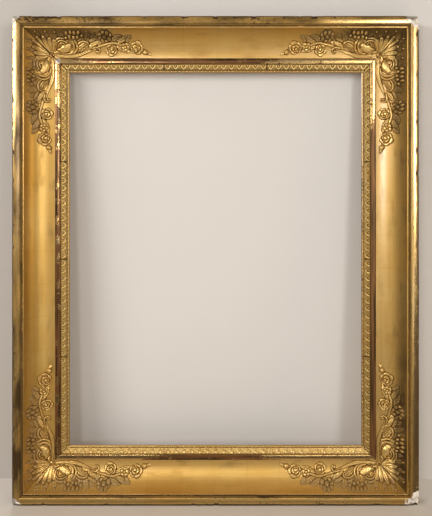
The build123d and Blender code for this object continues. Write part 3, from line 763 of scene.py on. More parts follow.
def sweep(piece_name, name, profile, material, outer):
    """One rail with its wear; outer is 1 for the wide moulding and 0 for the sight moulding inside it."""
    outline, (edge, cavity, side, gilt, burnish) = profile
    along, inward, depth, sunk, to_mitre, crack = rail_grid(name, outline, gilt, outer)
    girth = np.concatenate([[0], np.cumsum(np.linalg.norm(np.diff(outline, axis=0), axis=1))])
    points = on_side(name, along * MM, inward * MM, depth * MM).reshape(-1, 3)
    bare = knock_corners(points)
    soot, broken = top_left_damage(points, depth.ravel(), bare)
    soot, broken = soot * outer, broken * (1 - outer)
    points[:, 1] += INNER_CHIP_DEPTH * MM * broken * (depth.ravel() < strip_front + 2)

    level = points[:, 2].reshape(inward.shape) / HEIGHT
    bright_end = soft_step(250, 190, along) * soft_step(7.0, 10.0, inward) * (name == "top")
    kept, left_end, right_worn = (part * (1 - outer) for part in strip_wear(name, points, inward))
    grime_and_shade = rail_grime_and_shade(name, along, inward, to_mitre, level, bright_end) * outer
    grime_and_shade = np.maximum(grime_and_shade, 0.75 * left_end * (inward < groove_start))
    on_rim = soft_step(2.0, 5.0, inward) * (inward < RIM_WIDTH - 0.5) * (1 - bright_end)
    scuffed = np.clip(sunk, 0, 1) + RIM_RUB[name] * on_rim + 0.2 * right_worn
    flecks = STRIP_FLECKS[name] * wander(points, 0.03, 66).reshape(inward.shape) * (1 - outer)
    # Darkening from the section, the nicks, the mitre cracks and the moulding's dirt and painted shade.
    darkened = np.maximum(np.maximum(cavity, 0.4 * scuffed), np.maximum(crack, grime_and_shade))
    rim_gloss = np.maximum(RIM_BURNISH[name], bright_end)
    strip_gloss = 1 - 0.6 * left_end - 0.6 * right_worn
    gloss = np.where(inward < scotia_start + 1, FILLET_BURNISH[name], strip_gloss)
    rail_place = np.stack([along, np.broadcast_to(girth, along.shape), 0 * along], axis=-1)
    masks = {
        "edge": ((edge + scuffed) * (1 - (0.45 * kept - flecks))).ravel(),
        "cavity": np.maximum(darkened.ravel(), 2.0 * soot),
        "side": np.broadcast_to(side, along.shape).ravel(),
        "burnish": (burnish * np.where(inward < RIM_WIDTH, rim_gloss, gloss)).ravel(),
        "sheen": SHEEN[name] * soft_step(scotia_start + 18, scotia_start + 44, inward).ravel(),
        "chip": np.maximum(np.maximum(bare, broken), 0.8 * soft_step(0.9, 1.6, sunk).ravel()),
        "rail_place": rail_place.reshape(-1, 3) * MM,
    }
    return new_piece(piece_name, points, swept_faces(*along.shape), masks, material)


for name in SIDES:
    rail = sweep(f"gilt_moulding_{name}", name, moulding_section, matte_gold, 1.0)
    stands_for(rail, f"moulding_{name}")
    sight = sweep(f"gilt_sight_{name}", name, sight_section, burnished_gold, 0.0)
    stands_for(sight, f"sight_moulding_{name}")
    print(name, len(rail.data.vertices), "moulding points", len(sight.data.vertices), "sight points")

# %% [markdown]
# ## The corner ornament
# Each spray was pressed from a mould, so it has no undercuts: it is a height over the scotia. The relief is
# carved on a fine grid, one motif over another. A motif is laid by the share of its own outline that a point
# lies at (1 is the edge), and it cuts a narrow moat round itself, as a carver's outline cut does.

# %% Relief tools
# Each motif leaves a dark line just outside its outline and a darker ring at its own foot, partly dirt and
# partly painted shade.
MOAT, MOAT_WIDTH = 1.3, 0.9
OUTLINE, OUTLINE_DIRT_AND_SHADE, FOOT_DIRT_AND_SHADE = 1.1, 0.6, 0.25
ROSE_RINGS = ((1.0, 5, 0.42, 0.66, 0.0), (0.6, 3, 0.66, 0.95, 0.6), (0.26, 1, 0.8, 0.9, 0.0))
BUTTON = 0.27


def smooth_path(points, count=70):
    """Catmull-Rom curve through a few places."""
    points = np.array(points, float)
    padded = np.concatenate([2 * points[:1] - points[1:2], points, 2 * points[-1:] - points[-2:-1]])
    place = np.linspace(0, len(points) - 1, count)
    step = np.minimum(place.astype(int), len(points) - 2)
    t = (place - step)[:, None]
    a, b, c, d = (padded[step + offset] for offset in range(4))
    square = (2 * a - 5 * b + 4 * c - d) * t ** 2
    cube = (3 * b - a - 3 * c + d) * t ** 3
    return 0.5 * (2 * b + (c - a) * t + square + cube)


def blur(field, cells):
    """Gaussian blur of a grid."""
    reach = int(3 * cells) + 1
    kernel = np.exp(-0.5 * (np.arange(-reach, reach + 1) / cells) ** 2)
    kernel /= kernel.sum()
    for axis in (0, 1):
        padding = [(reach, reach) if axis == other else (0, 0) for other in (0, 1)]
        wide = np.pad(field, padding, mode="edge")
        field = sum(weight * np.take(wide, np.arange(field.shape[axis]) + offset, axis=axis)
                    for offset, weight in enumerate(kernel))
    return field


class Relief:
    """A height over a patch of the scotia, in millimetres, carved motif by motif."""

    def __init__(self, low, high, step):
        self.s, self.t = np.meshgrid(np.arange(low[0], high[0], step), np.arange(low[1], high[1], step),
                                     indexing="ij")
        self.height = np.zeros(self.s.shape)
        self.soil_and_shade = np.zeros(self.s.shape)

    def lay(self, near, size, body, moat=MOAT, foot=FOOT_DIRT_AND_SHADE, reach=0.7):
        """Lays a body over what is there, with a moat cut and a dark line of dirt and painted shade round its
        outline.
        """
        outside = np.maximum(near - 1, 0) * size
        inside = near < 1
        cut = moat * np.exp(-(outside / MOAT_WIDTH) ** 2) * (self.height > 0.4)
        self.height -= np.where(inside, 0, cut)
        self.height = np.where(inside, np.maximum(body, self.height * 0.5), np.maximum(self.height, 0))
        soiled_and_shaded = foot * np.exp(-(np.maximum(1 - near, 0) * size / reach) ** 2)
        outlined = OUTLINE_DIRT_AND_SHADE * np.exp(-(outside / OUTLINE) ** 2)
        self.soil_and_shade = np.where(inside, soiled_and_shaded, np.maximum(self.soil_and_shade, outlined))

    def rib(self, path, widths, heights, groove=0.0, flat=2.0, moat=MOAT):
        """A rounded stem along a curve, with an optional channel down its middle."""
        curve = smooth_path(path)
        best = np.full(self.s.shape, 1e9)
        share = np.zeros(self.s.shape)
        for index, (a, b) in enumerate(zip(curve[:-1], curve[1:])):
            run = b - a
            part = np.clip(((self.s - a[0]) * run[0] + (self.t - a[1]) * run[1]) / (run @ run), 0, 1)
            gap = np.hypot(self.s - a[0] - part * run[0], self.t - a[1] - part * run[1])
            closer = gap < best
            best = np.where(closer, gap, best)
            share = np.where(closer, (index + part) / (len(curve) - 1), share)
        width = np.interp(share, np.linspace(0, 1, len(widths)), widths)
        rise = np.interp(share, np.linspace(0, 1, len(heights)), heights)
        near = best / width
        body = rise * np.clip(1 - near ** flat, 0, 1) ** 0.5 * (1 - groove * np.exp(-(near / 0.3) ** 2))
        self.lay(near, width, body, moat)

    def leaf(self, base, tip, width, height, curve=0.0, lobes=4, cut=0.28):
        """An acanthus leaf: toothed outline, sunk midrib and side veins."""
        base, tip = np.array(base, float), np.array(tip, float)
        length = np.linalg.norm(tip - base)
        axis = (tip - base) / length
        a = ((self.s - base[0]) * axis[0] + (self.t - base[1]) * axis[1]) / length
        d = (self.t - base[1]) * axis[0] - (self.s - base[0]) * axis[1]
        inside = np.clip(a, 1e-3, 1 - 1e-3)
        d = d - curve * width * np.sin(math.pi * inside)
        outline = width * 1.75 * inside ** 0.5 * (1 - inside) ** 0.62
        tooth = 1 - cut * (0.5 - 0.5 * np.cos(2 * math.pi * (lobes * inside + 0.15)))
        beyond = np.maximum(np.maximum(-a, a - 1), 0) * length
        near = np.abs(d) / np.maximum(outline * tooth, 0.4) + beyond
        swell = height * (0.4 + 0.6 * np.sin(math.pi * inside ** 0.75))
        body = swell * np.clip(1 - near ** 2.4, 0, 1) ** 0.5
        body -= 0.28 * swell * np.exp(-(d / 0.8) ** 2)
        vein = np.cos(2 * math.pi * (lobes * (inside - 0.55 * np.abs(d) / length) + 0.15))
        body -= 0.2 * swell * np.clip(-vein, 0, 1) ** 2 * np.clip(near, 0, 1)
        self.lay(near, np.maximum(outline, 1.0), np.maximum(body, 0.15))

    def rose(self, centre, radius, height, turn=0.0):
        """A full rose: three rings of cupped petals round a bud."""
        body = np.zeros(self.s.shape)
        outer_near = None
        for size, count, low, high, twist in ROSE_RINGS:
            across = self.s - centre[0] - 0.3 * (1 - size) * radius * math.cos(3 * turn)
            along = self.t - centre[1] - 0.3 * (1 - size) * radius * math.sin(3 * turn)
            reach = np.hypot(across, along) / radius
            angle = np.arctan2(along, across) + turn
            wave = np.abs(np.cos(count / 2 * (angle + twist)))
            near = reach / (size * (0.82 + 0.18 * wave ** 0.6))
            ring = height * (low + (high - low) * np.clip(near, 0, 1) ** 2)
            ring *= np.clip(1 - np.clip(near, 0, 1) ** 10, 0, 1) ** 0.4
            ring -= 0.22 * height * np.exp(-(wave * near * size * radius / 1.7) ** 2) * (count > 1)
            body -= np.where(near > 1, 0.3 * height * np.exp(-((near - 1) * size * radius / 1.2) ** 2), 0)
            body = np.where(near < 1, np.maximum(ring, 0.1), body)
            outer_near = near if outer_near is None else outer_near
        self.lay(outer_near, radius, np.maximum(body, 0.1))

    def flower(self, centre, radius, height, count=6, turn=0.0):
        """An open flower: spoon-shaped petals round a button."""
        reach = np.hypot(self.s - centre[0], self.t - centre[1]) / radius
        angle = np.arctan2(self.t - centre[1], self.s - centre[0]) + turn
        wave = np.abs(np.cos(count / 2 * angle))
        near = reach / (0.68 + 0.32 * wave ** 0.7)
        body = height * (0.45 + 0.4 * reach) * np.clip(1 - np.clip(near, 0, 1) ** 6, 0, 1) ** 0.5
        body -= 0.35 * height * np.exp(-(wave * reach * radius / 1.5) ** 2) * (reach > 0.2)
        button = reach / BUTTON
        body = np.where(button < 1, height * (0.75 + 0.35 * np.sqrt(np.clip(1 - button ** 2, 0, 1))), body)
        ditch = 0.25 * height * np.exp(-((button - 1) * BUTTON * radius / 0.9) ** 2)
        body -= np.where(button > 1, ditch, 0)
        self.lay(near, radius, np.maximum(body, 0.1))

    def berry(self, centre, radius, height):
        """A round berry or bud, darker round its foot with dirt and painted shade."""
        near = np.hypot(self.s - centre[0], self.t - centre[1]) / radius
        dome = height * np.sqrt(np.clip(1 - near ** 2, 0, 1))
        self.lay(near, radius, dome, foot=0.3, reach=0.2 * radius)


print("motifs", [name for name in vars(Relief) if not name.startswith("_")])

# %% [markdown]
# ## One spray
# A spray runs along the rail from the corner: a grooved stem, a scroll, leaves, berries and three flowers.
# It is carved from the lowest leaves up to the flowers, because each motif covers what lies under it. In the
# grid, s runs along the rail from the inner mitre corner and t outwards from the foot of the scotia, both in
# millimetres.

# %% Carve one spray
SPRAY_LENGTH = 230.0
RELIEF_STEP = 0.62
spray = Relief((-3.0, 0.6), (SPRAY_LENGTH + 4, SCOTIA_WIDTH - 1.5), RELIEF_STEP)

# Leaves that lie lowest, against the hollow: base, tip, width, height, bend and lobes
LOW_LEAVES = (
    ((58, 26), (70, 62), 12.0, 4.8, -0.15, 5),
    ((76, 34), (86, 60), 11.0, 4.8, 0.15, 5),
    ((90, 36), (100, 57), 10.0, 4.6, 0.2, 4),
    ((44, 30), (52, 50), 9.0, 4.4, 0.2, 4),
    ((24, 42), (18, 58), 8.5, 4.2, 0.2, 4),
    ((108, 26), (102, 46), 9.0, 4.6, -0.2, 4),
    ((132, 36), (162, 52), 9.5, 5.4, 0.2, 5),
    ((146, 34), (184, 50), 9.0, 5.4, 0.15, 5),
    ((148, 30), (184, 15), 9.5, 5.4, -0.2, 5),
    ((172, 36), (186, 52), 7.0, 5.0, 0.2, 4),
    ((184, 22), (172, 38), 7.0, 4.8, 0.2, 3),
    ((120, 30), (152, 40), 8.0, 5.2, -0.2, 4),
    ((206, 19), (233, 9), 7.5, 5.4, 0.1, 2),
)
for leaf in LOW_LEAVES:
    spray.leaf(*leaf)

# Main stem: a branch that rises and carries the flowers, then a broad grooved band beside the strip
spray.rib([(104, 27), (120, 32), (142, 36), (160, 31), (184, 27), (210, 20)],
          [3.2, 3.0, 3.0, 2.6], [4.8, 4.8, 4.6, 4.0])
spray.rib([(3, 6.6), (20, 5.4), (44, 5.8), (58, 8.6), (72, 13.8), (86, 19.5), (98, 23)],
          [2.0, 4.4, 5.0, 4.4, 3.6, 2.8, 2.2], [3.0, 4.4, 4.6, 4.4, 4.4, 4.0, 3.8], groove=0.3, flat=3.0)
print("low leaves", len(LOW_LEAVES), "highest so far", round(float(spray.height.max()), 2), "mm")

# %% Leaves and tendril of the spray
# Leaf with a rolled edge, which curls over at its far end
spray.leaf((50, 16), (80, 37), 11.0, 5.0, 0.15, 4)
spray.rib([(56, 17), (63, 26), (73, 32)], [1.6, 2.0, 1.4], [4.6, 5.6, 4.6])
spray.rib([(63, 17), (69, 23), (76, 27)], [1.4, 1.8, 1.4], [4.4, 5.2, 4.4])
spray.rib([(52, 20), (54, 30), (62, 38), (72, 40), (80, 36.5), (79.5, 29.5), (75.5, 27)],
          [1.8, 2.6, 3.0, 3.0, 2.6, 2.0, 1.6], [4.4, 5.6, 6.2, 6.6, 6.2, 5.4, 4.6], moat=2.2)

# Leaf body and the tendril that hangs from it
spray.leaf((80, 21), (107, 40), 9.5, 5.8, 0.2, 4)
spray.leaf((82, 38), (104, 47), 6.0, 5.0, 0.2, 4)
spray.rib([(90, 24), (101, 26), (107.5, 20.5), (105.5, 13), (100, 12.5)],
          [2.4, 2.4, 2.2, 2.0], [4.4, 4.8, 4.6, 4.2], moat=2.0)
spray.berry((101.5, 16.5), 3.6, 5.2)
print("rolled leaf and tendril carved, highest", round(float(spray.height.max()), 2), "mm")

# %% Scroll of the spray
# A smooth bowl, the lobes that wrap its far side and the curled fingers over its near side
spray.rib([(39, 11), (48, 15), (53, 24), (52.5, 34), (48, 43)],
          [2.2, 3.0, 3.0, 2.6, 2.0], [4.2, 5.0, 5.2, 5.0, 4.2], moat=1.8)
spray.rib([(26, 10.5), (37, 12.5), (44, 19), (45.5, 29), (42, 40)],
          [2.0, 2.8, 3.2, 3.0, 2.2], [4.0, 5.0, 5.6, 5.4, 4.6], moat=1.8)
spray.rib([(-2, 13), (5, 15.5), (12, 13)], [2.6, 3.4, 2.0], [4.0, 5.0, 4.0], moat=1.6)
spray.rib([(6, 21.5), (15, 20.5), (25, 24), (32, 28)],
          [2.0, 6.0, 10.0, 10.6, 8.0], [3.6, 5.2, 6.0, 6.0, 5.0], flat=2.6, moat=2.4)
spray.rib([(0.5, 22), (0, 33), (5.5, 43), (15, 47), (25, 45.5), (32, 40)],
          [1.8, 2.6, 2.8, 2.4], [4.0, 5.2, 5.6, 5.0], moat=2.0)
spray.rib([(4.5, 24.5), (4.5, 33), (9, 39.5), (16, 42), (24, 40.5), (30, 36.5)],
          [1.6, 2.4, 2.6, 2.2], [4.4, 5.8, 6.4, 5.8], moat=2.0)
spray.rib([(9, 26.5), (9.5, 32), (13.5, 36), (19, 36.5), (25.5, 33.5)],
          [1.6, 2.2, 2.4, 2.0], [4.8, 6.2, 7.0, 6.4], moat=2.0)
print("scroll carved, highest", round(float(spray.height.max()), 2), "mm")

# %% Berries and flowers of the spray
BERRY_RISE = 5.6
BERRIES = ((28, 47, 3.8), (37, 50, 4.2), (47, 48, 4.0), (56, 49, 4.2), (31, 57, 4.4), (41, 58.5, 4.0),
           (50, 57, 4.6), (60, 58, 4.2), (67, 52, 3.8))
CLUSTER, CLUSTER_COUNT, CLUSTER_SPREAD = (122, 50), 8, (12.0, 7.2)
for along, out, size in BERRIES:
    spray.berry((along, out), size, BERRY_RISE)
for turn in range(CLUSTER_COUNT):
    around = 2 * math.pi * turn / CLUSTER_COUNT + 0.3
    spray.berry((CLUSTER[0] + CLUSTER_SPREAD[0] * math.cos(around),
                 CLUSTER[1] + CLUSTER_SPREAD[1] * math.sin(around)), 6.0, 6.8)
spray.berry(CLUSTER, 6.0, 8.0)
spray.rose((136, 19), 14.8, 9.6, 0.4)
spray.flower((170, 27), 10.5, 6.8, 5, 0.2)
spray.rose((198, 25), 16.2, 10.0, 1.3)
spray.berry((218, 14), 6.2, 6.4)
print("spray grid", spray.height.shape, "highest", round(float(spray.height.max()), 2), "mm")

# %% [markdown]
# ## One palmette
# The palmette spans the mitre: p and q are the distances outwards on the two rails that meet there. It is a
# shell of lobes that open from a small knot over a thin plate; those beside the mitre are long and narrow. A
# fringe of small leaves shows between the tips of the lobes.

# %% Carve one palmette
PALMETTE_KNOT = 8.0
LOBES = ((60.0, 33.0, 6.2), (41.0, 36.0, 6.2), (23.0, 43.0, 5.6), (8.0, 51.0, 4.2))
FRINGE = (((0, 38), (-5, 61)), ((17, 40), (18, 62)), ((34, 46), (43, 62)))
PLATE_HALF_ANGLE, PLATE_HEIGHT = math.radians(68), 2.2
palmette = Relief((-30.0, -30.0), (SCOTIA_WIDTH - 2.0, SCOTIA_WIDTH - 2.0), RELIEF_STEP)
from_knot = np.hypot(palmette.s - PALMETTE_KNOT, palmette.t - PALMETTE_KNOT)
off_mitre = np.abs(np.arctan2(palmette.t - PALMETTE_KNOT, palmette.s - PALMETTE_KNOT) - math.pi / 4)
off_mitre = np.minimum(off_mitre, 2 * math.pi - off_mitre)
plate_reach = 36 + 14 * np.cos(2.2 * np.minimum(off_mitre, 1.3)).clip(0)
plate = np.maximum(from_knot / plate_reach, off_mitre / PLATE_HALF_ANGLE)
palmette.lay(plate, 40.0, PLATE_HEIGHT * np.clip(1 - plate ** 6, 0, 1) ** 0.5)
for hand in (1, -1):
    for base, tip in FRINGE:
        palmette.leaf(base[::hand], tip[::hand], 9.0, 3.0, 0.1 * hand, 3)
        palmette.berry(np.array(tip[::hand]) * 0.96, 2.5, 3.4)
knot = np.array([PALMETTE_KNOT, PALMETTE_KNOT])
for hand in (1, -1):
    for off, reach, broad in LOBES:
        heading = math.radians(45 + hand * off)
        direction = np.array([math.cos(heading), math.sin(heading)])
        across = np.array([-direction[1], direction[0]]) * hand
        middle = knot + 0.55 * reach * direction - 0.03 * reach * across
        widths = [1.0, 0.5 * broad, 0.85 * broad, broad, 0.85 * broad]
        palmette.rib([knot + 3 * direction, middle, knot + reach * direction], widths,
                     [3.0, 3.8, 4.2, 4.8, 5.4], groove=0.25, flat=3.0, moat=1.4)
palmette.berry(knot - 1, 6.2, 6.2)
print("palmette grid", palmette.height.shape, "highest", round(float(palmette.height.max()), 2), "mm")

# %% [markdown]
# ## Setting the ornament on the frame
# The carved heights are stood on the scotia along its own slope. Each piece is a closed shell: a top with the
# relief and a base that is bedded a little way into the gilding, as glued composition is. The masks come from
# the relief itself: a point lower than its surroundings is darkened, partly as dirt and partly as painted
# shade, and a point higher than them is rubbed.

# %% Shell of a relief
BEDDING = 0.7
BASE = 1.6
SHOWN = 0.2
SKIRT = 0.35
CLOSE_BLUR, WIDE_BLUR = 1.6 / RELIEF_STEP, 4.5 / RELIEF_STEP
WORN_DOWN = 0.03


def relief_masks(height, soil_and_shade):
    """Darkening in the hollows, partly dirt and partly painted shade, and rubbing on the high points of a
    relief.
    """
    around = blur(height, CLOSE_BLUR)
    wide = blur(height, WIDE_BLUR)
    dirt_and_shade = np.clip((around - height - 0.25) / 0.9, 0, 1) + np.clip((wide - height - 0.8) / 2.2, 0, 0.6)
    rubbed = np.clip((height - around) / 1.4, 0, 1)
    return np.clip(np.maximum(dirt_and_shade, soil_and_shade), 0, 1), rubbed


def shell_grid(height):
    """Cells of the grid that a shell covers, the points they use, and those of the points on its rim."""
    shown = height > SHOWN
    grown = shown.copy()
    for axis in (0, 1):
        for shift in (1, -1):
            grown |= np.roll(shown, shift, axis=axis)
    cells = grown[:-1, :-1] & grown[1:, :-1] & grown[1:, 1:] & grown[:-1, 1:]
    touching = np.zeros(height.shape, int)
    for row in (slice(None, -1), slice(1, None)):
        for column in (slice(None, -1), slice(1, None)):
            touching[row, column] += cells
    used = touching > 0
    return cells, used, used & (touching < 4)


def shell_faces(cells, used, rim, flipped):
    """Quads of a shell's top and of its base, which share the points of the rim."""
    inner = used & ~rim
    top_number = np.full(used.shape, -1)
    top_number[used] = np.arange(used.sum())
    base_number = np.where(rim, top_number, -1)
    base_number[inner] = used.sum() + np.arange(inner.sum())
    rows, columns = np.nonzero(cells)
    corner = [(rows, columns), (rows + 1, columns), (rows + 1, columns + 1), (rows, columns + 1)]
    up = np.stack([top_number[place] for place in corner], axis=1)
    down = np.stack([base_number[place] for place in corner[::-1]], axis=1)
    faces = np.concatenate([up, down])
    return (faces[:, ::-1] if flipped else faces).tolist()


def relief_shell(name, height, soil_and_shade, to_world, flipped, seed, grime_and_shade, settled_and_shaded, gloss, browned):
    """Closed mesh of a relief; to_world takes heights to points, settled is dust and painted shade, browned
    is stain.
    """
    # A low skirt round a motif carries its dark outline of dirt and painted shade.
    height = np.maximum(height, SKIRT * (soil_and_shade > 0.3))
    cells, used, rim = shell_grid(height)
    worn = height * (1 - WORN_DOWN * np.random.default_rng(seed).uniform(0, 1))
    top = to_world(np.where(rim, -BEDDING, worn))[used]
    base = to_world(np.full(height.shape, -BASE))[used & ~rim]
    points = np.concatenate([top, base])
    dirt_and_shade, rubbed = relief_masks(height, soil_and_shade)
    dusty_and_shaded = settled_and_shaded * (1 - 0.8 * soft_step(0.4, 0.9, rubbed))
    zero = np.zeros(len(points))
    masks = {"cavity": zero + 1, "edge": zero.copy(), "chip": zero, "side": zero.copy(), "sheen": zero + 1}
    masks["cavity"][:len(top)] = np.clip(dirt_and_shade * grime_and_shade + dusty_and_shaded, 0, 1)[used]
    masks["edge"][:len(top)] = rubbed[used]
    masks["side"][:len(top)] = browned[used]
    masks["burnish"] = gloss * masks["edge"]
    return new_piece(name, points, shell_faces(cells, used, rim, flipped), masks, pressed_gold)


print("a shell is bedded", BEDDING, "mm deep and shows from", SHOWN, "mm up")

# %% [markdown]
# ## Eight sprays
# One carving serves all eight places, turned and mirrored. A side says how much its ornament is darkened by
# dirt and painted shade, how much of that darkening and of the crispness is left in the outer part (towards
# the rim), how much dust and painted shade lie on that part, how brown it has gone and how bright the high
# points are.

# %% Spray pieces
CORNERS = {"bottom": ("left", "right"), "right": ("bottom", "top"), "top": ("right", "left"),
           "left": ("top", "bottom")}
# Darkening of the ornament by side, partly dirt and partly painted shade, in its hollows and on its outer
# part.
RELIEF_DIRT_AND_SHADE = {"top": 1.2, "left": 1.0, "right": 1.1, "bottom": 0.9}
OUTER_DUST_AND_SHADE = {"top": 0.85, "left": 0.36, "right": 0.85, "bottom": 0.36}
OUTER_SOIL_AND_SHADE = {"top": 1.0, "left": 0.65, "right": 1.0, "bottom": 0.7}
BROWNED = {"top": 0.0, "left": 0.55, "right": 0.15, "bottom": 0.45}
BROWNED_LEAST = 0.2
SOFTENED = {"top": 0.0, "left": 0.3, "right": 0.0, "bottom": 0.4}
GLOSS = {"top": 0.7, "left": 0.45, "right": 0.7, "bottom": 0.3}
LOW_GLOSS = 0.5
SLIP = 1.5


def spray_placer(name, at_end, slip):
    """Takes spray heights to world points on one side, from its first or its last corner."""
    length = SIDES[name]["length"] / MM

    def to_world(height):
        angle = scotia_angle(spray.t)
        along = scotia_end + spray.s + slip
        inward = scotia_end - spray.t + np.sin(angle) * height
        depth = scotia_foot - scotia_rise(spray.t) - np.cos(angle) * height
        return on_side(name, (length - along if at_end else along) * MM, inward * MM, depth * MM)

    return to_world


draw = np.random.default_rng(11)
spots = np.stack([spray.s, spray.t], -1)
for name, corners in CORNERS.items():
    soiled_and_shaded = RELIEF_DIRT_AND_SHADE[name] * (1 - (1 - OUTER_SOIL_AND_SHADE[name]) * soft_step(30, 44, spray.t))
    settled_and_shaded = OUTER_DUST_AND_SHADE[name] * soft_step(34, 50, spray.t)
    browned = BROWNED[name] * np.maximum(soft_step(24, 44, spray.t), BROWNED_LEAST)
    for at_end, corner in enumerate(corners):
        seed = 90 + at_end + 2 * len(name)
        tired = spray.height * (1 + 0.04 * wander(spots, 40.0, seed))
        tired += 0.3 * wander(spots, 8.0, seed + 1) * soft_step(0.8, 2.5, spray.height)
        tired *= 1 - SOFTENED[name] * soft_step(36, 48, spray.t)
        place = spray_placer(name, at_end, draw.uniform(-SLIP, SLIP))
        gloss = GLOSS[name] * (LOW_GLOSS if "bottom" in (name, corner) else 1.0)
        piece = relief_shell(f"pressed_spray_{name}_{corner}", tired, spray.soil_and_shade, place, not at_end,
                             20 + at_end, soiled_and_shaded, settled_and_shaded, gloss, browned)
        stands_for(piece, f"spray_{name}_{corner}")
print("spray points", len(piece.data.vertices), "faces", len(piece.data.polygons))

# %% [markdown]
# ## Four palmettes
# A palmette lies over both rails of its corner, so its heights turn from one slope to the other across the
# mitre. The mitre has opened under it and cracked it along the middle, widest at the top left.

# %% Palmette pieces


def palmette_placer(right, up):
    """Takes palmette heights to world points in one corner; right and up are -1 or 1."""

    def to_world(height):
        p, q = palmette.s, palmette.t
        share = soft_step(-7.0, 7.0, q - p)
        slope_p = scotia_angle(np.maximum(p, 0))
        slope_q = scotia_angle(np.maximum(q, 0))
        outward = np.stack([-(1 - share) * np.sin(slope_p), -share * np.sin(slope_q),
                            (1 - share) * np.cos(slope_p) + share * np.cos(slope_q)], axis=-1)
        outward /= np.linalg.norm(outward, axis=-1)[..., None]
        depth = scotia_foot - scotia_rise(np.maximum(np.maximum(p, q), 0))
        p_out = scotia_end - p - outward[..., 0] * height
        q_out = scotia_end - q - outward[..., 1] * height
        x = right * (WIDTH / 2 - p_out * MM)
        z = HEIGHT - q_out * MM if up > 0 else q_out * MM
        return np.stack([x, FRONT + (depth - outward[..., 2] * height) * MM, z], axis=-1)

    return to_world


MITRE_CRACK = {(-1, 1): (1.0, 1.7), (1, 1): (0.6, 1.0), (-1, -1): (0.6, 1.0), (1, -1): (0.8, 1.3)}
CRACK_DEPTH = 6.0
for up, level in ((1, "top"), (-1, "bottom")):
    for right, hand in ((-1, "left"), (1, "right")):
        deep, wide = MITRE_CRACK[(right, up)]
        crack = np.exp(-((palmette.s - palmette.t) / 1.414 / wide) ** 4) * deep
        parted = np.maximum(palmette.height - CRACK_DEPTH * crack, 0.5)
        split = np.maximum(np.where(palmette.height > 0.6, parted, palmette.height), 0)
        soiled_and_shaded = np.maximum(palmette.soil_and_shade, crack * (palmette.height > 0))
        upper = palmette.t > palmette.s
        outer = soft_step(34, 50, np.maximum(palmette.s, palmette.t))
        # Dust and painted shade on the outer part, and how much of the darkening is left there.
        settled_and_shaded = np.where(upper, OUTER_DUST_AND_SHADE[level], OUTER_DUST_AND_SHADE[hand]) * outer
        browned = np.where(upper, BROWNED[level], BROWNED[hand]) * outer
        less_darkened = (1 - np.where(upper, OUTER_SOIL_AND_SHADE[level], OUTER_SOIL_AND_SHADE[hand])) * outer
        piece = relief_shell(f"pressed_palmette_{level}_{hand}", split, soiled_and_shaded, palmette_placer(right, up),
                             right * up < 0, 30 + right, RELIEF_DIRT_AND_SHADE[level] * (1 - less_darkened), settled_and_shaded,
                             GLOSS[level], browned)
        stands_for(piece, f"palmette_{level}_{hand}")
print("palmette points", len(piece.data.vertices), "faces", len(piece.data.polygons))

# %% [markdown]
# ## The leaf-and-dart run
# The sight edge carries short pressed lengths: heart-shaped leaves with a dart between each two, and a row of
# pearls on the lip. One leaf with its dart and one pearl are made as closed meshes, in millimetres. The right
# side has kept its leaves crisp; on the other three sides they are blunt.

# %% One leaf and one pearl
LEAF_PITCH = 18.0
RUN_EDGE, RUN_CREST, RUN_TOE, RUN_INSET = 2.2, 3.6, 1.2, 2.0
BURIED = 0.8
DART = ((9.0, 1.0, 0.2), (10.1, 4.8, 0.0), (9.0, 10.6, 0.2), (7.9, 4.8, 0.0))
DART_PEAK = (9.0, 6.6, 1.4)
CRISP_RELIEF, CRISP_GLOSS = 1.5, 0.45
BLUNT_RELIEF, BLUNT_GLOSS = 0.65, 0.15
bed_start = groove_start + GROOVE_WIDTH
crest = bed_start + RUN_INSET
run_fall = (RUN_CREST - RUN_TOE) / (bed_end - crest)


def small_mesh(name, points, faces, cavity, gloss, smooth):
    """Source shape for instancing, in metres, with its masks; it is removed once the runs are made."""
    cavity = np.array(cavity, float)
    zero = np.zeros(len(points))
    masks = {"cavity": cavity, "edge": 1 - cavity, "chip": zero, "side": zero, "sheen": zero + 1,
             "burnish": gloss * (1 - cavity)}
    return new_piece(name, np.array(points, float) * MM, faces, masks, pressed_gold, smooth)


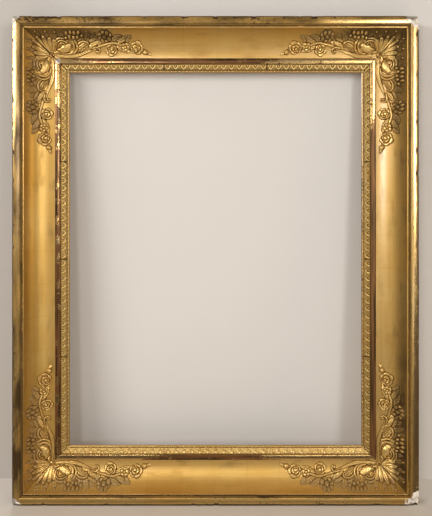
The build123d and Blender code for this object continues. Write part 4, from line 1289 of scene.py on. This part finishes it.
def heart_leaf(name, relief, gloss):
    """A leaf with raised sides that meet in a tip towards the sight, and a dart in the gap after it."""
    sides = [(9.0, 0.3), (8.5, 4.2), (6.2, 8.6), (0.0, 13.4)]
    outer = [(8.2, 0.6), (7.2, 4.2), (4.6, 8.2), (0.0, 12.0)]
    inner = [(5.6, 0.8), (4.6, 4.0), (2.4, 7.0), (0.0, 9.2)]
    sunk = [(3.9, 1.0), (3.0, 3.6), (1.5, 5.6), (0.0, 6.6)]
    heart = [(0.0, 1.0), (0.0, 2.6), (0.0, 4.2), (0.0, 5.8)]
    rows = [(sides, 0.0, 0.9), (outer, 1.8, 0.2), (inner, 1.6, 0.1), (sunk, 0.1, 1.0), (heart, 1.2, 0.0)]
    points, faces, cavity, number = [], [], [], {}

    def corner(x, y, lift, darkened):
        """Number of a point, shared where two faces meet."""
        place = (x, y, lift)
        if place not in number:
            number[place] = len(points)
            points.append((x, y, (relief * lift if lift > 0 else lift) - run_fall * y))
            cavity.append(darkened)
        return number[place]

    halves = {}
    for hand in (1, -1):
        grid = [[corner(hand * x, y, lift, darkened) for x, y in row] for row, lift, darkened in rows]
        for near, far in zip(grid[:-1], grid[1:]):
            for c in range(3):
                quad = [near[c], near[c + 1], far[c + 1], far[c]]
                faces.append(quad if hand > 0 else quad[::-1])
        halves[hand] = grid
    right, left = halves[1], halves[-1]
    rim = [row[0] for row in right] + [row[0] for row in left[-2::-1]] + left[0][1:] + right[0][-2:0:-1]
    base = [corner(points[spot][0], points[spot][1], -BURIED, 1.0) for spot in rim]
    for c, spot in enumerate(rim):
        beside = (c + 1) % len(rim)
        faces.append([spot, rim[beside], base[beside], base[c]])
    faces.append(base)
    dart = [corner(*spot, 0.8) for spot in DART]
    peak = corner(*DART_PEAK, 0.0)
    for c in range(4):
        faces.append([dart[c], dart[(c + 1) % 4], peak])
    faces.append(dart[::-1])
    return small_mesh(name, points, faces, cavity, gloss, False)


def pearl(radius=2.1, rings=3, sides=7):
    """Upper part of a pearl, closed underneath."""
    points, faces, cavity = [], [], []
    for ring in range(rings):
        turn = math.radians(8 + 62 * ring / (rings - 1))
        for side in range(sides):
            around = 2 * math.pi * side / sides
            across = radius * math.cos(turn)
            points.append((across * math.cos(around), across * math.sin(around), radius * math.sin(turn)))
            cavity.append(0.7 if ring == 0 else 0.0)
    points.append((0, 0, radius))
    cavity.append(0.0)
    for ring in range(rings - 1):
        for side in range(sides):
            beside = (side + 1) % sides
            faces.append([ring * sides + side, ring * sides + beside, (ring + 1) * sides + beside,
                          (ring + 1) * sides + side])
    for side in range(sides):
        faces.append([(rings - 1) * sides + side, (rings - 1) * sides + (side + 1) % sides, rings * sides])
    faces.append(list(range(sides))[::-1])
    return small_mesh("pearl_source", points, faces, cavity, BLUNT_GLOSS, True)


crisp_leaf = heart_leaf("crisp_leaf_source", CRISP_RELIEF, CRISP_GLOSS)
blunt_leaf = heart_leaf("blunt_leaf_source", BLUNT_RELIEF, BLUNT_GLOSS)
pearl_source = pearl()
print("leaf faces", len(crisp_leaf.data.polygons), "pearl faces", len(pearl_source.data.polygons))

# %% [markdown]
# ## A tree that lays a run
# Geometry Nodes repeats one leaf and one pearl along a line, with a little scatter in their size, shifts the
# pearls on to the lip, joins everything to the strip of the length and gives it its finish.

# %% Run tree
run_tree = bpy.data.node_groups.new("leaf_and_dart_run", "GeometryNodeTree")
for label, kind in (("Strip", "NodeSocketGeometry"), ("Start", VECTOR), ("End", VECTOR), ("Turn", VECTOR),
                    ("Pearl Shift", VECTOR), ("Leaf", "NodeSocketObject"), ("Pearl", "NodeSocketObject"),
                    ("Leaf Pitch", FLOAT), ("Pearl Pitch", FLOAT), ("Scatter", FLOAT),
                    ("Seed", "NodeSocketInt"), ("Finish", "NodeSocketMaterial")):
    run_tree.interface.new_socket(label, in_out="INPUT", socket_type=kind)
run_tree.interface.new_socket("Run", in_out="OUTPUT", socket_type="NodeSocketGeometry")
run_in = run_tree.nodes.new("NodeGroupInput").outputs
run_out = run_tree.nodes.new("NodeGroupOutput")
path = add_node(run_tree, "GeometryNodeCurvePrimitiveLine", {"mode": "POINTS"}, Start=run_in["Start"],
                End=run_in["End"])
least = minus(run_tree, 1.0, run_in["Scatter"])
copies = []
for source, pitch in (("Leaf", "Leaf Pitch"), ("Pearl", "Pearl Pitch")):
    beads = add_node(run_tree, "GeometryNodeResampleCurve", {"mode": "LENGTH"}, Curve=path.outputs[0],
                     Length=run_in[pitch])
    spots = add_node(run_tree, "GeometryNodeCurveToPoints", {"mode": "EVALUATED"}, Curve=beads.outputs[0])
    shape = add_node(run_tree, "GeometryNodeObjectInfo", None, Object=run_in[source])
    scatter = add_node(run_tree, "FunctionNodeRandomValue", {"data_type": "FLOAT"}, Seed=run_in["Seed"])
    run_tree.links.new(least, scatter.inputs[2])
    scatter.inputs[3].default_value = 1.0
    copy = add_node(run_tree, "GeometryNodeInstanceOnPoints", None, Points=spots.outputs[0],
                    Rotation=run_in["Turn"], Scale=scatter.outputs[1])
    run_tree.links.new(shape.outputs["Geometry"], copy.inputs["Instance"])
    shifted = copy.outputs[0]
    if source == "Pearl":
        shifted = add_node(run_tree, "GeometryNodeTranslateInstances", None, Instances=shifted,
                           Translation=run_in["Pearl Shift"], Local_Space=False).outputs[0]
    copies.append(shifted)
joined = run_tree.nodes.new("GeometryNodeJoinGeometry")
for socket in [run_in["Strip"], *copies]:
    run_tree.links.new(socket, joined.inputs[0])
real = add_node(run_tree, "GeometryNodeRealizeInstances", None, Geometry=joined.outputs[0])
finished = add_node(run_tree, "GeometryNodeSetMaterial", None, Geometry=real.outputs[0],
                    Material=run_in["Finish"])
run_tree.links.new(finished.outputs[0], run_out.inputs[0])
print("run tree has", len(run_tree.nodes), "nodes")

# %% [markdown]
# ## Lengths on the four sides
# Where each pressed length begins and ends is read from its CAD node. The strip under it is mitred at the
# corners and dark at its butt joints. The tree runs as a modifier, and its result is kept as a plain mesh.

# %% Strip and turn of a length
RUN_COUNTS = {"bottom": 3, "right": 4, "top": 3, "left": 4}
# How much each side's run is darkened in its hollows, partly dirt and partly painted shade.
RUN_DIRT_AND_SHADE = {"bottom": 0.32, "right": 1.1, "top": 1.45, "left": 1.25}
PEARL_OVERLAP = 1.0
LEAVES = {"bottom": blunt_leaf, "right": crisp_leaf, "top": blunt_leaf, "left": blunt_leaf}
RING_SPACING = 12
JOINT_DARK = 1.0
CORNER_SKIP = 7.0
LEAF_SET_BACK = 0.6
SIZE_SCATTER = 0.08
STRIP_SEAT = 0.3
STRIP_CAVITY, STRIP_EDGE = (1.0, 0.5, 0.15, 0.6, 1.0), (0.0, 0.2, 0.6, 0.0, 0.0)


def run_strip(name, first, last):
    """The plain strip under one pressed length, with mitred ends where it meets a corner."""
    length = SIDES[name]["length"] / MM
    outline = np.array([(bed_start, bed_depth + STRIP_SEAT), (bed_start, bed_depth - RUN_EDGE),
                        (crest, bed_depth - RUN_CREST), (bed_end, bed_depth - RUN_TOE),
                        (bed_end, bed_depth + STRIP_SEAT)])
    rings = max(2, int((last - first) / RING_SPACING))
    dark = JOINT_DARK / (last - first)
    share = np.concatenate([[0, dark], np.linspace(2 * dark, 1 - 2 * dark, rings), [1 - dark, 1]])[:, None]
    at_joint = np.abs(share - 0.5) > 0.5 - 1.5 * dark
    low = np.maximum(outline[:, 0], first)
    high = np.minimum(length - outline[:, 0], last)
    along = low + (high - low) * share
    inward = np.broadcast_to(outline[:, 0], along.shape)
    depth = np.broadcast_to(outline[:, 1], along.shape)
    zero = np.zeros(along.size)
    masks = {"cavity": np.maximum(STRIP_CAVITY, 1.3 * at_joint).ravel(),
             "edge": np.where(at_joint, 0.0, STRIP_EDGE).ravel(),
             "chip": zero, "side": zero, "sheen": zero + 1, "burnish": zero}
    points = on_side(name, along * MM, inward * MM, depth * MM).reshape(-1, 3)
    return points, swept_faces(*along.shape), masks


def turn_of(name):
    """Euler turn that takes x along the side, y towards the opening and z to the front."""
    along = Vector((SIDES[name]["along"][0], 0, SIDES[name]["along"][1]))
    inward = Vector((SIDES[name]["inward"][0], 0, SIDES[name]["inward"][1]))
    return Matrix((along, inward, Vector((0, -1, 0)))).transposed().to_euler()


def along_side(name, corner):
    """How far along a side a point lies, in millimetres."""
    side = SIDES[name]
    return ((corner.x - side["start"][0]) * side["along"][0]
            + (corner.z - side["start"][1]) * side["along"][1]) / MM


def lay_run(run, amounts):
    """Runs the tree on a strip with its named inputs, and keeps the result as the piece's mesh."""
    maker = run.modifiers.new("run", "NODES")
    maker.node_group = run_tree
    for item in run_tree.interface.items_tree:
        if item.item_type == "SOCKET" and item.in_out == "INPUT" and item.name in amounts:
            maker[item.identifier] = amounts[item.name]
    evaluated = run.evaluated_get(bpy.context.evaluated_depsgraph_get())
    made = bpy.data.meshes.new_from_object(evaluated)
    run.modifiers.clear()
    run.data = made


print("pressed lengths", sum(RUN_COUNTS.values()))

# %% Runs on the four sides
for name, count in RUN_COUNTS.items():
    low, high = bed_start, SIDES[name]["length"] / MM - bed_start
    to_lip = on_side(name, 0.0, (bed_end + LIP_WIDTH / 2 - crest + LEAF_SET_BACK) * MM,
                     (lip_front - bed_depth + RUN_CREST + PEARL_OVERLAP) * MM) - on_side(name, 0.0, 0.0, 0.0)
    for number in range(1, count + 1):
        node_name = f"leaf_run_{name}_{number}"
        first, last = sorted(along_side(name, corner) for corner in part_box(node_name))
        points, faces, masks = run_strip(name, first, last)
        run = new_piece(f"pressed_run_{name}_{number}", points, faces, masks, pressed_gold, False)
        leaf_low = first + CORNER_SKIP * (abs(first - low) < 1) + LEAF_PITCH / 2
        leaf_high = last - CORNER_SKIP * (abs(last - high) < 1) - LEAF_PITCH / 2
        leaves = round((leaf_high - leaf_low) / LEAF_PITCH)
        pitch = (leaf_high - leaf_low) / leaves
        start, end = (on_side(name, place * MM, (crest - LEAF_SET_BACK) * MM, (bed_depth - RUN_CREST) * MM)
                      for place in (leaf_low, leaf_high))
        lay_run(run, {"Start": start.tolist(), "End": end.tolist(), "Turn": list(turn_of(name)),
                      "Pearl Shift": to_lip.tolist(), "Leaf": LEAVES[name], "Pearl": pearl_source,
                      "Leaf Pitch": pitch * MM, "Pearl Pitch": pitch / 2 * MM, "Scatter": SIZE_SCATTER,
                      "Seed": number, "Finish": pressed_gold})
        # The run's hollows are darkened by side, with dirt and with painted shade.
        cavity = run.data.attributes["cavity"].data
        soil_and_shade = np.zeros(len(cavity), np.float32)
        cavity.foreach_get("value", soil_and_shade)
        cavity.foreach_set("value", soil_and_shade * RUN_DIRT_AND_SHADE[name])
        stands_for(run, node_name)
    print(name, "leaves in the last length", leaves + 1, "faces", len(run.data.polygons))
for source in (crisp_leaf, blunt_leaf, pearl_source):
    bpy.data.objects.remove(source)

# %% [markdown]
# ## Wood and metal of the back
# The back frame, pegs and hardware keep their CAD shapes. Old softwood has gone brown, with darker rings and
# dust; the hangers are forged iron, and the turn buttons are brass with patches of tarnish.

# %% Back materials


def plain_material(name, **constants):
    """Material with a principled shader whose plain sockets are set by name."""
    material = bpy.data.materials.new(name)
    material.use_nodes = True
    shader = material.node_tree.nodes["Principled BSDF"]
    for label, value in constants.items():
        shader.inputs[label.replace("_", " ")].default_value = value
    return material, material.node_tree, shader


def wood_material(name, pale, dark, grain_along):
    """Aged wood with rings and fibres along one axis."""
    material, tree, shader = plain_material(name)
    where = object_place(tree)
    squeeze = [7.0, 7.0, 7.0]
    squeeze[grain_along] = 0.3
    fibre = [420.0, 420.0, 420.0]
    fibre[grain_along] = 9.0
    bulk = noise(tree, stretched(tree, where, squeeze), 1.0, 2.0)
    rings = math_node(tree, "SINE", times(tree, bulk, 80.0))
    fibres = noise(tree, stretched(tree, where, fibre), 1.0, 3.0)
    stain = noise(tree, where, 6.0, 4.0)
    tone = plus(tree, times(tree, rings, 0.11), times(tree, fibres, 0.7))
    tone = plus(tree, tone, off_middle(tree, stain, 0.9))
    colour = mix_colour(tree, ramp(tree, tone, 0.0, 0.85), dark, pale)
    tree.links.new(colour, shader.inputs["Base Color"])
    tree.links.new(plus(tree, 0.62, times(tree, fibres, 0.3)), shader.inputs["Roughness"])
    bump = add_node(tree, "ShaderNodeBump", None, Strength=0.35, Distance=0.0008, Height=tone)
    tree.links.new(bump.outputs["Normal"], shader.inputs["Normal"])
    return material


def metal_material(name, bright, dull, rough_low, rough_high, scale):
    """Handled metal: tarnish in patches, with fine scratches in its gloss."""
    material, tree, shader = plain_material(name, Metallic=1.0)
    where = object_place(tree)
    patch = noise(tree, where, scale, 4.0)
    scratch = noise(tree, where, scale * 14, 3.0)
    mask = ramp(tree, plus(tree, patch, times(tree, scratch, 0.25)), 0.45, 0.8)
    tree.links.new(mix_colour(tree, mask, bright, dull), shader.inputs["Base Color"])
    tree.links.new(mix_value(tree, mask, rough_low, rough_high), shader.inputs["Roughness"])
    bump = add_node(tree, "ShaderNodeBump", None, Strength=0.25, Distance=0.0003, Height=scratch)
    tree.links.new(bump.outputs["Normal"], shader.inputs["Normal"])
    return material


PALE_PINE, DARK_PINE = (0.36, 0.24, 0.135, 1), (0.13, 0.075, 0.037, 1)
rail_wood = wood_material("softwood_rail", PALE_PINE, DARK_PINE, 0)
stile_wood = wood_material("softwood_stile", PALE_PINE, DARK_PINE, 2)
peg_wood = wood_material("peg_ash", (0.4, 0.24, 0.11, 1), (0.16, 0.08, 0.035, 1), 1)
iron = metal_material("forged_iron", (0.16, 0.14, 0.12, 1), (0.07, 0.04, 0.025, 1), 0.42, 0.75, 180.0)
brass = metal_material("aged_brass", (0.62, 0.42, 0.14, 1), (0.22, 0.14, 0.06, 1), 0.28, 0.5, 140.0)
steel = metal_material("dull_steel", (0.34, 0.33, 0.31, 1), (0.13, 0.1, 0.08, 1), 0.35, 0.6, 220.0)
print("back materials", rail_wood.name, iron.name, brass.name, steel.name)

# %% [markdown]
# ## Dressing the back
# The pieces of the back keep their CAD meshes, so a finish only goes into their material slots. The start of
# a node's name says which finish it gets.

# %% Dress the CAD nodes of the back
FINISHES = (("back_rail", rail_wood), ("back_stile", stile_wood), ("corner_pegs", peg_wood),
            ("mitre_key", peg_wood), ("screw_eye", iron), ("hanging_ring", iron), ("turn_button", brass),
            ("button_screws", steel))
dressed = 0
for name, node in nodes.items():
    for start, finish in FINISHES:
        if name.startswith(start):
            for slot in node.material_slots:
                slot.material = finish
            dressed += 1
print("dressed", dressed, "CAD nodes")

# %% [markdown]
# ## Stage
# The frame stands on a pale floor in front of a pale wall, which leans towards it and has shade painted on
# it, darker to the left. The wall is seen only by the camera and only from its front, so that it throws no
# light on the object and the back can be looked at. Polished gold doesn't mirror the floor.

# %% Stage


def stage_material(name, colour):
    """Matt stage surface with a faint unevenness."""
    material, tree, shader = plain_material(name, Roughness=0.9)
    shade = [channel * 0.96 for channel in colour[:3]] + [1]
    tint = mix_colour(tree, noise(tree, object_place(tree), 3.0, 2.0), colour, shade)
    tree.links.new(tint, shader.inputs["Base Color"])
    return material


def stage_sheet(name, near, far, height, material):
    """Flat sheet that isn't part of the object; near and far are how far back its two long edges lie."""
    corners = [(-STAGE_HALF, near, 0), (STAGE_HALF, near, 0), (STAGE_HALF, far, height),
               (-STAGE_HALF, far, height)]
    sheet = new_piece(name, np.array(corners, float), [[0, 1, 2, 3]], {}, material, False)
    return sheet


STAGE_HALF = 4.0
WALL_FOOT, WALL_HEAD, WALL_HEIGHT = 0.118, 0.033, 3.0
# Painted shade: the wall's colour darkens towards the left of the frame.
PAINTED_SHADE_FROM, PAINTED_SHADE_TO, PAINTED_SHADE = -0.15, -0.56, (0.78, 0.755, 0.73, 1)
floor_paint = stage_material("floor_paint", (0.7, 0.66, 0.62, 1))
floor = stage_sheet("floor", -STAGE_HALF, STAGE_HALF, 0, floor_paint)
floor.visible_glossy = False

wall_paint = stage_material("wall_paint", (0.725, 0.7, 0.672, 1))
wall_tree = wall_paint.node_tree
wall_shader = wall_tree.nodes["Principled BSDF"]
wall_across = add_node(wall_tree, "ShaderNodeSeparateXYZ", None, i0=object_place(wall_tree)).outputs[0]
wall_tint = wall_shader.inputs["Base Color"].links[0].from_socket
# Painted shade darkening the wall towards the left.
to_left = ramp(wall_tree, wall_across, PAINTED_SHADE_FROM, PAINTED_SHADE_TO)
wall_painted_shade = mix_colour(wall_tree, to_left, wall_tint, PAINTED_SHADE, "MULTIPLY")
wall_tree.links.new(wall_painted_shade, wall_shader.inputs["Base Color"])
see_through = wall_tree.nodes.new("ShaderNodeBsdfTransparent")
facing = wall_tree.nodes.new("ShaderNodeNewGeometry").outputs["Backfacing"]
one_sided = add_node(wall_tree, "ShaderNodeMixShader", None, i0=facing, i1=wall_shader.outputs[0],
                     i2=see_through.outputs[0])
wall_tree.links.new(one_sided.outputs[0], wall_tree.nodes["Material Output"].inputs["Surface"])
wall_lean = (WALL_HEAD - WALL_FOOT) / HEIGHT
wall = stage_sheet("wall", WALL_FOOT, WALL_FOOT + wall_lean * WALL_HEIGHT, WALL_HEIGHT, wall_paint)
for ray in ("diffuse", "glossy", "shadow", "transmission"):
    setattr(wall, f"visible_{ray}", False)
print("wall leans", round(math.degrees(math.atan(-wall_lean)), 2), "degrees")

# %% [markdown]
# ## Light
# A broad window high on the left and a lamp on the right cast the two shadows inside the opening. A warm lamp
# far to the right lights the left side of the scotia. A small lamp low down and one near the axis give the
# glints on the bottom rail and in the ornament, and one lamp stands behind for the back.

# %% Lamps


def soft_lamp(name, place, aim, size, power, colour=(1, 1, 1)):
    """Rectangular lamp turned towards a point; it isn't seen by the camera itself."""
    data = bpy.data.lights.new(name, "AREA")
    data.shape = "RECTANGLE"
    data.size, data.size_y = size
    data.energy = power
    data.color = colour
    lamp = bpy.data.objects.new(name, data)
    lamp.location = place
    lamp.rotation_euler = (Vector(aim) - Vector(place)).to_track_quat("-Z", "Y").to_euler()
    lamp.visible_camera = False
    bpy.context.scene.collection.objects.link(lamp)
    return lamp


MIDDLE = (0.0, 0.0, HEIGHT / 2)
LAMP_TINT = (1.0, 0.98, 0.95)
WARM_TINT = (1.0, 0.77, 0.45)
REACH = 3.2


def around_middle(azimuth, elevation):
    """Place at the lamps' distance in a direction, given in degrees to the right and up."""
    turn, lift = math.radians(azimuth), math.radians(elevation)
    flat = REACH * math.cos(lift)
    return (flat * math.sin(turn), -flat * math.cos(turn), MIDDLE[2] + REACH * math.sin(lift))


soft_lamp("left_window", around_middle(-45, 18), MIDDLE, (1.7, 0.6), 38.0, LAMP_TINT)
soft_lamp("right_lamp", around_middle(25, 10), MIDDLE, (0.65, 1.1), 24.0, LAMP_TINT)
soft_lamp("far_right_lamp", around_middle(73, 7), MIDDLE, (0.7, 1.0), 12.0, WARM_TINT)
soft_lamp("low_lamp", around_middle(12, -9), MIDDLE, (0.5, 0.4), 2.5, LAMP_TINT)
soft_lamp("axis_lamp", around_middle(-12, 8), MIDDLE, (0.4, 0.5), 15.0, LAMP_TINT)
soft_lamp("back_lamp", (-0.9, 2.6, 1.9), MIDDLE, (1.4, 1.4), 30.0)
print("lamps", len(bpy.data.lights))

# %% [markdown]
# ## The room
# The room is brighter and warmer overhead than at eye level, dark just below it and pale again at the floor,
# which is what the burnished rim mirrors from top to bottom.

# %% World
LOW_DARK, EYE_LEVEL = (0.083, 0.07, 0.063, 1), (0.255, 0.25, 0.245, 1)
OVERHEAD, UNDERFOOT = (0.6, 0.46, 0.3, 1), (0.62, 0.53, 0.42, 1)
world = bpy.data.worlds.new("studio")
world.use_nodes = True
sky = world.node_tree
heading = sky.nodes.new("ShaderNodeTexCoord").outputs["Generated"]
lift = add_node(sky, "ShaderNodeSeparateXYZ", None, i0=heading).outputs[2]
room = mix_colour(sky, ramp(sky, lift, -0.3, 0.2), LOW_DARK, EYE_LEVEL)
room = mix_colour(sky, ramp(sky, lift, 0.55, 0.9), room, OVERHEAD)
room = mix_colour(sky, ramp(sky, lift, -0.65, -0.35), UNDERFOOT, room)
sky.links.new(room, sky.nodes["Background"].inputs["Color"])
bpy.context.scene.world = world
print("world has", len(sky.nodes), "nodes")

bpy.context.view_layer.update()
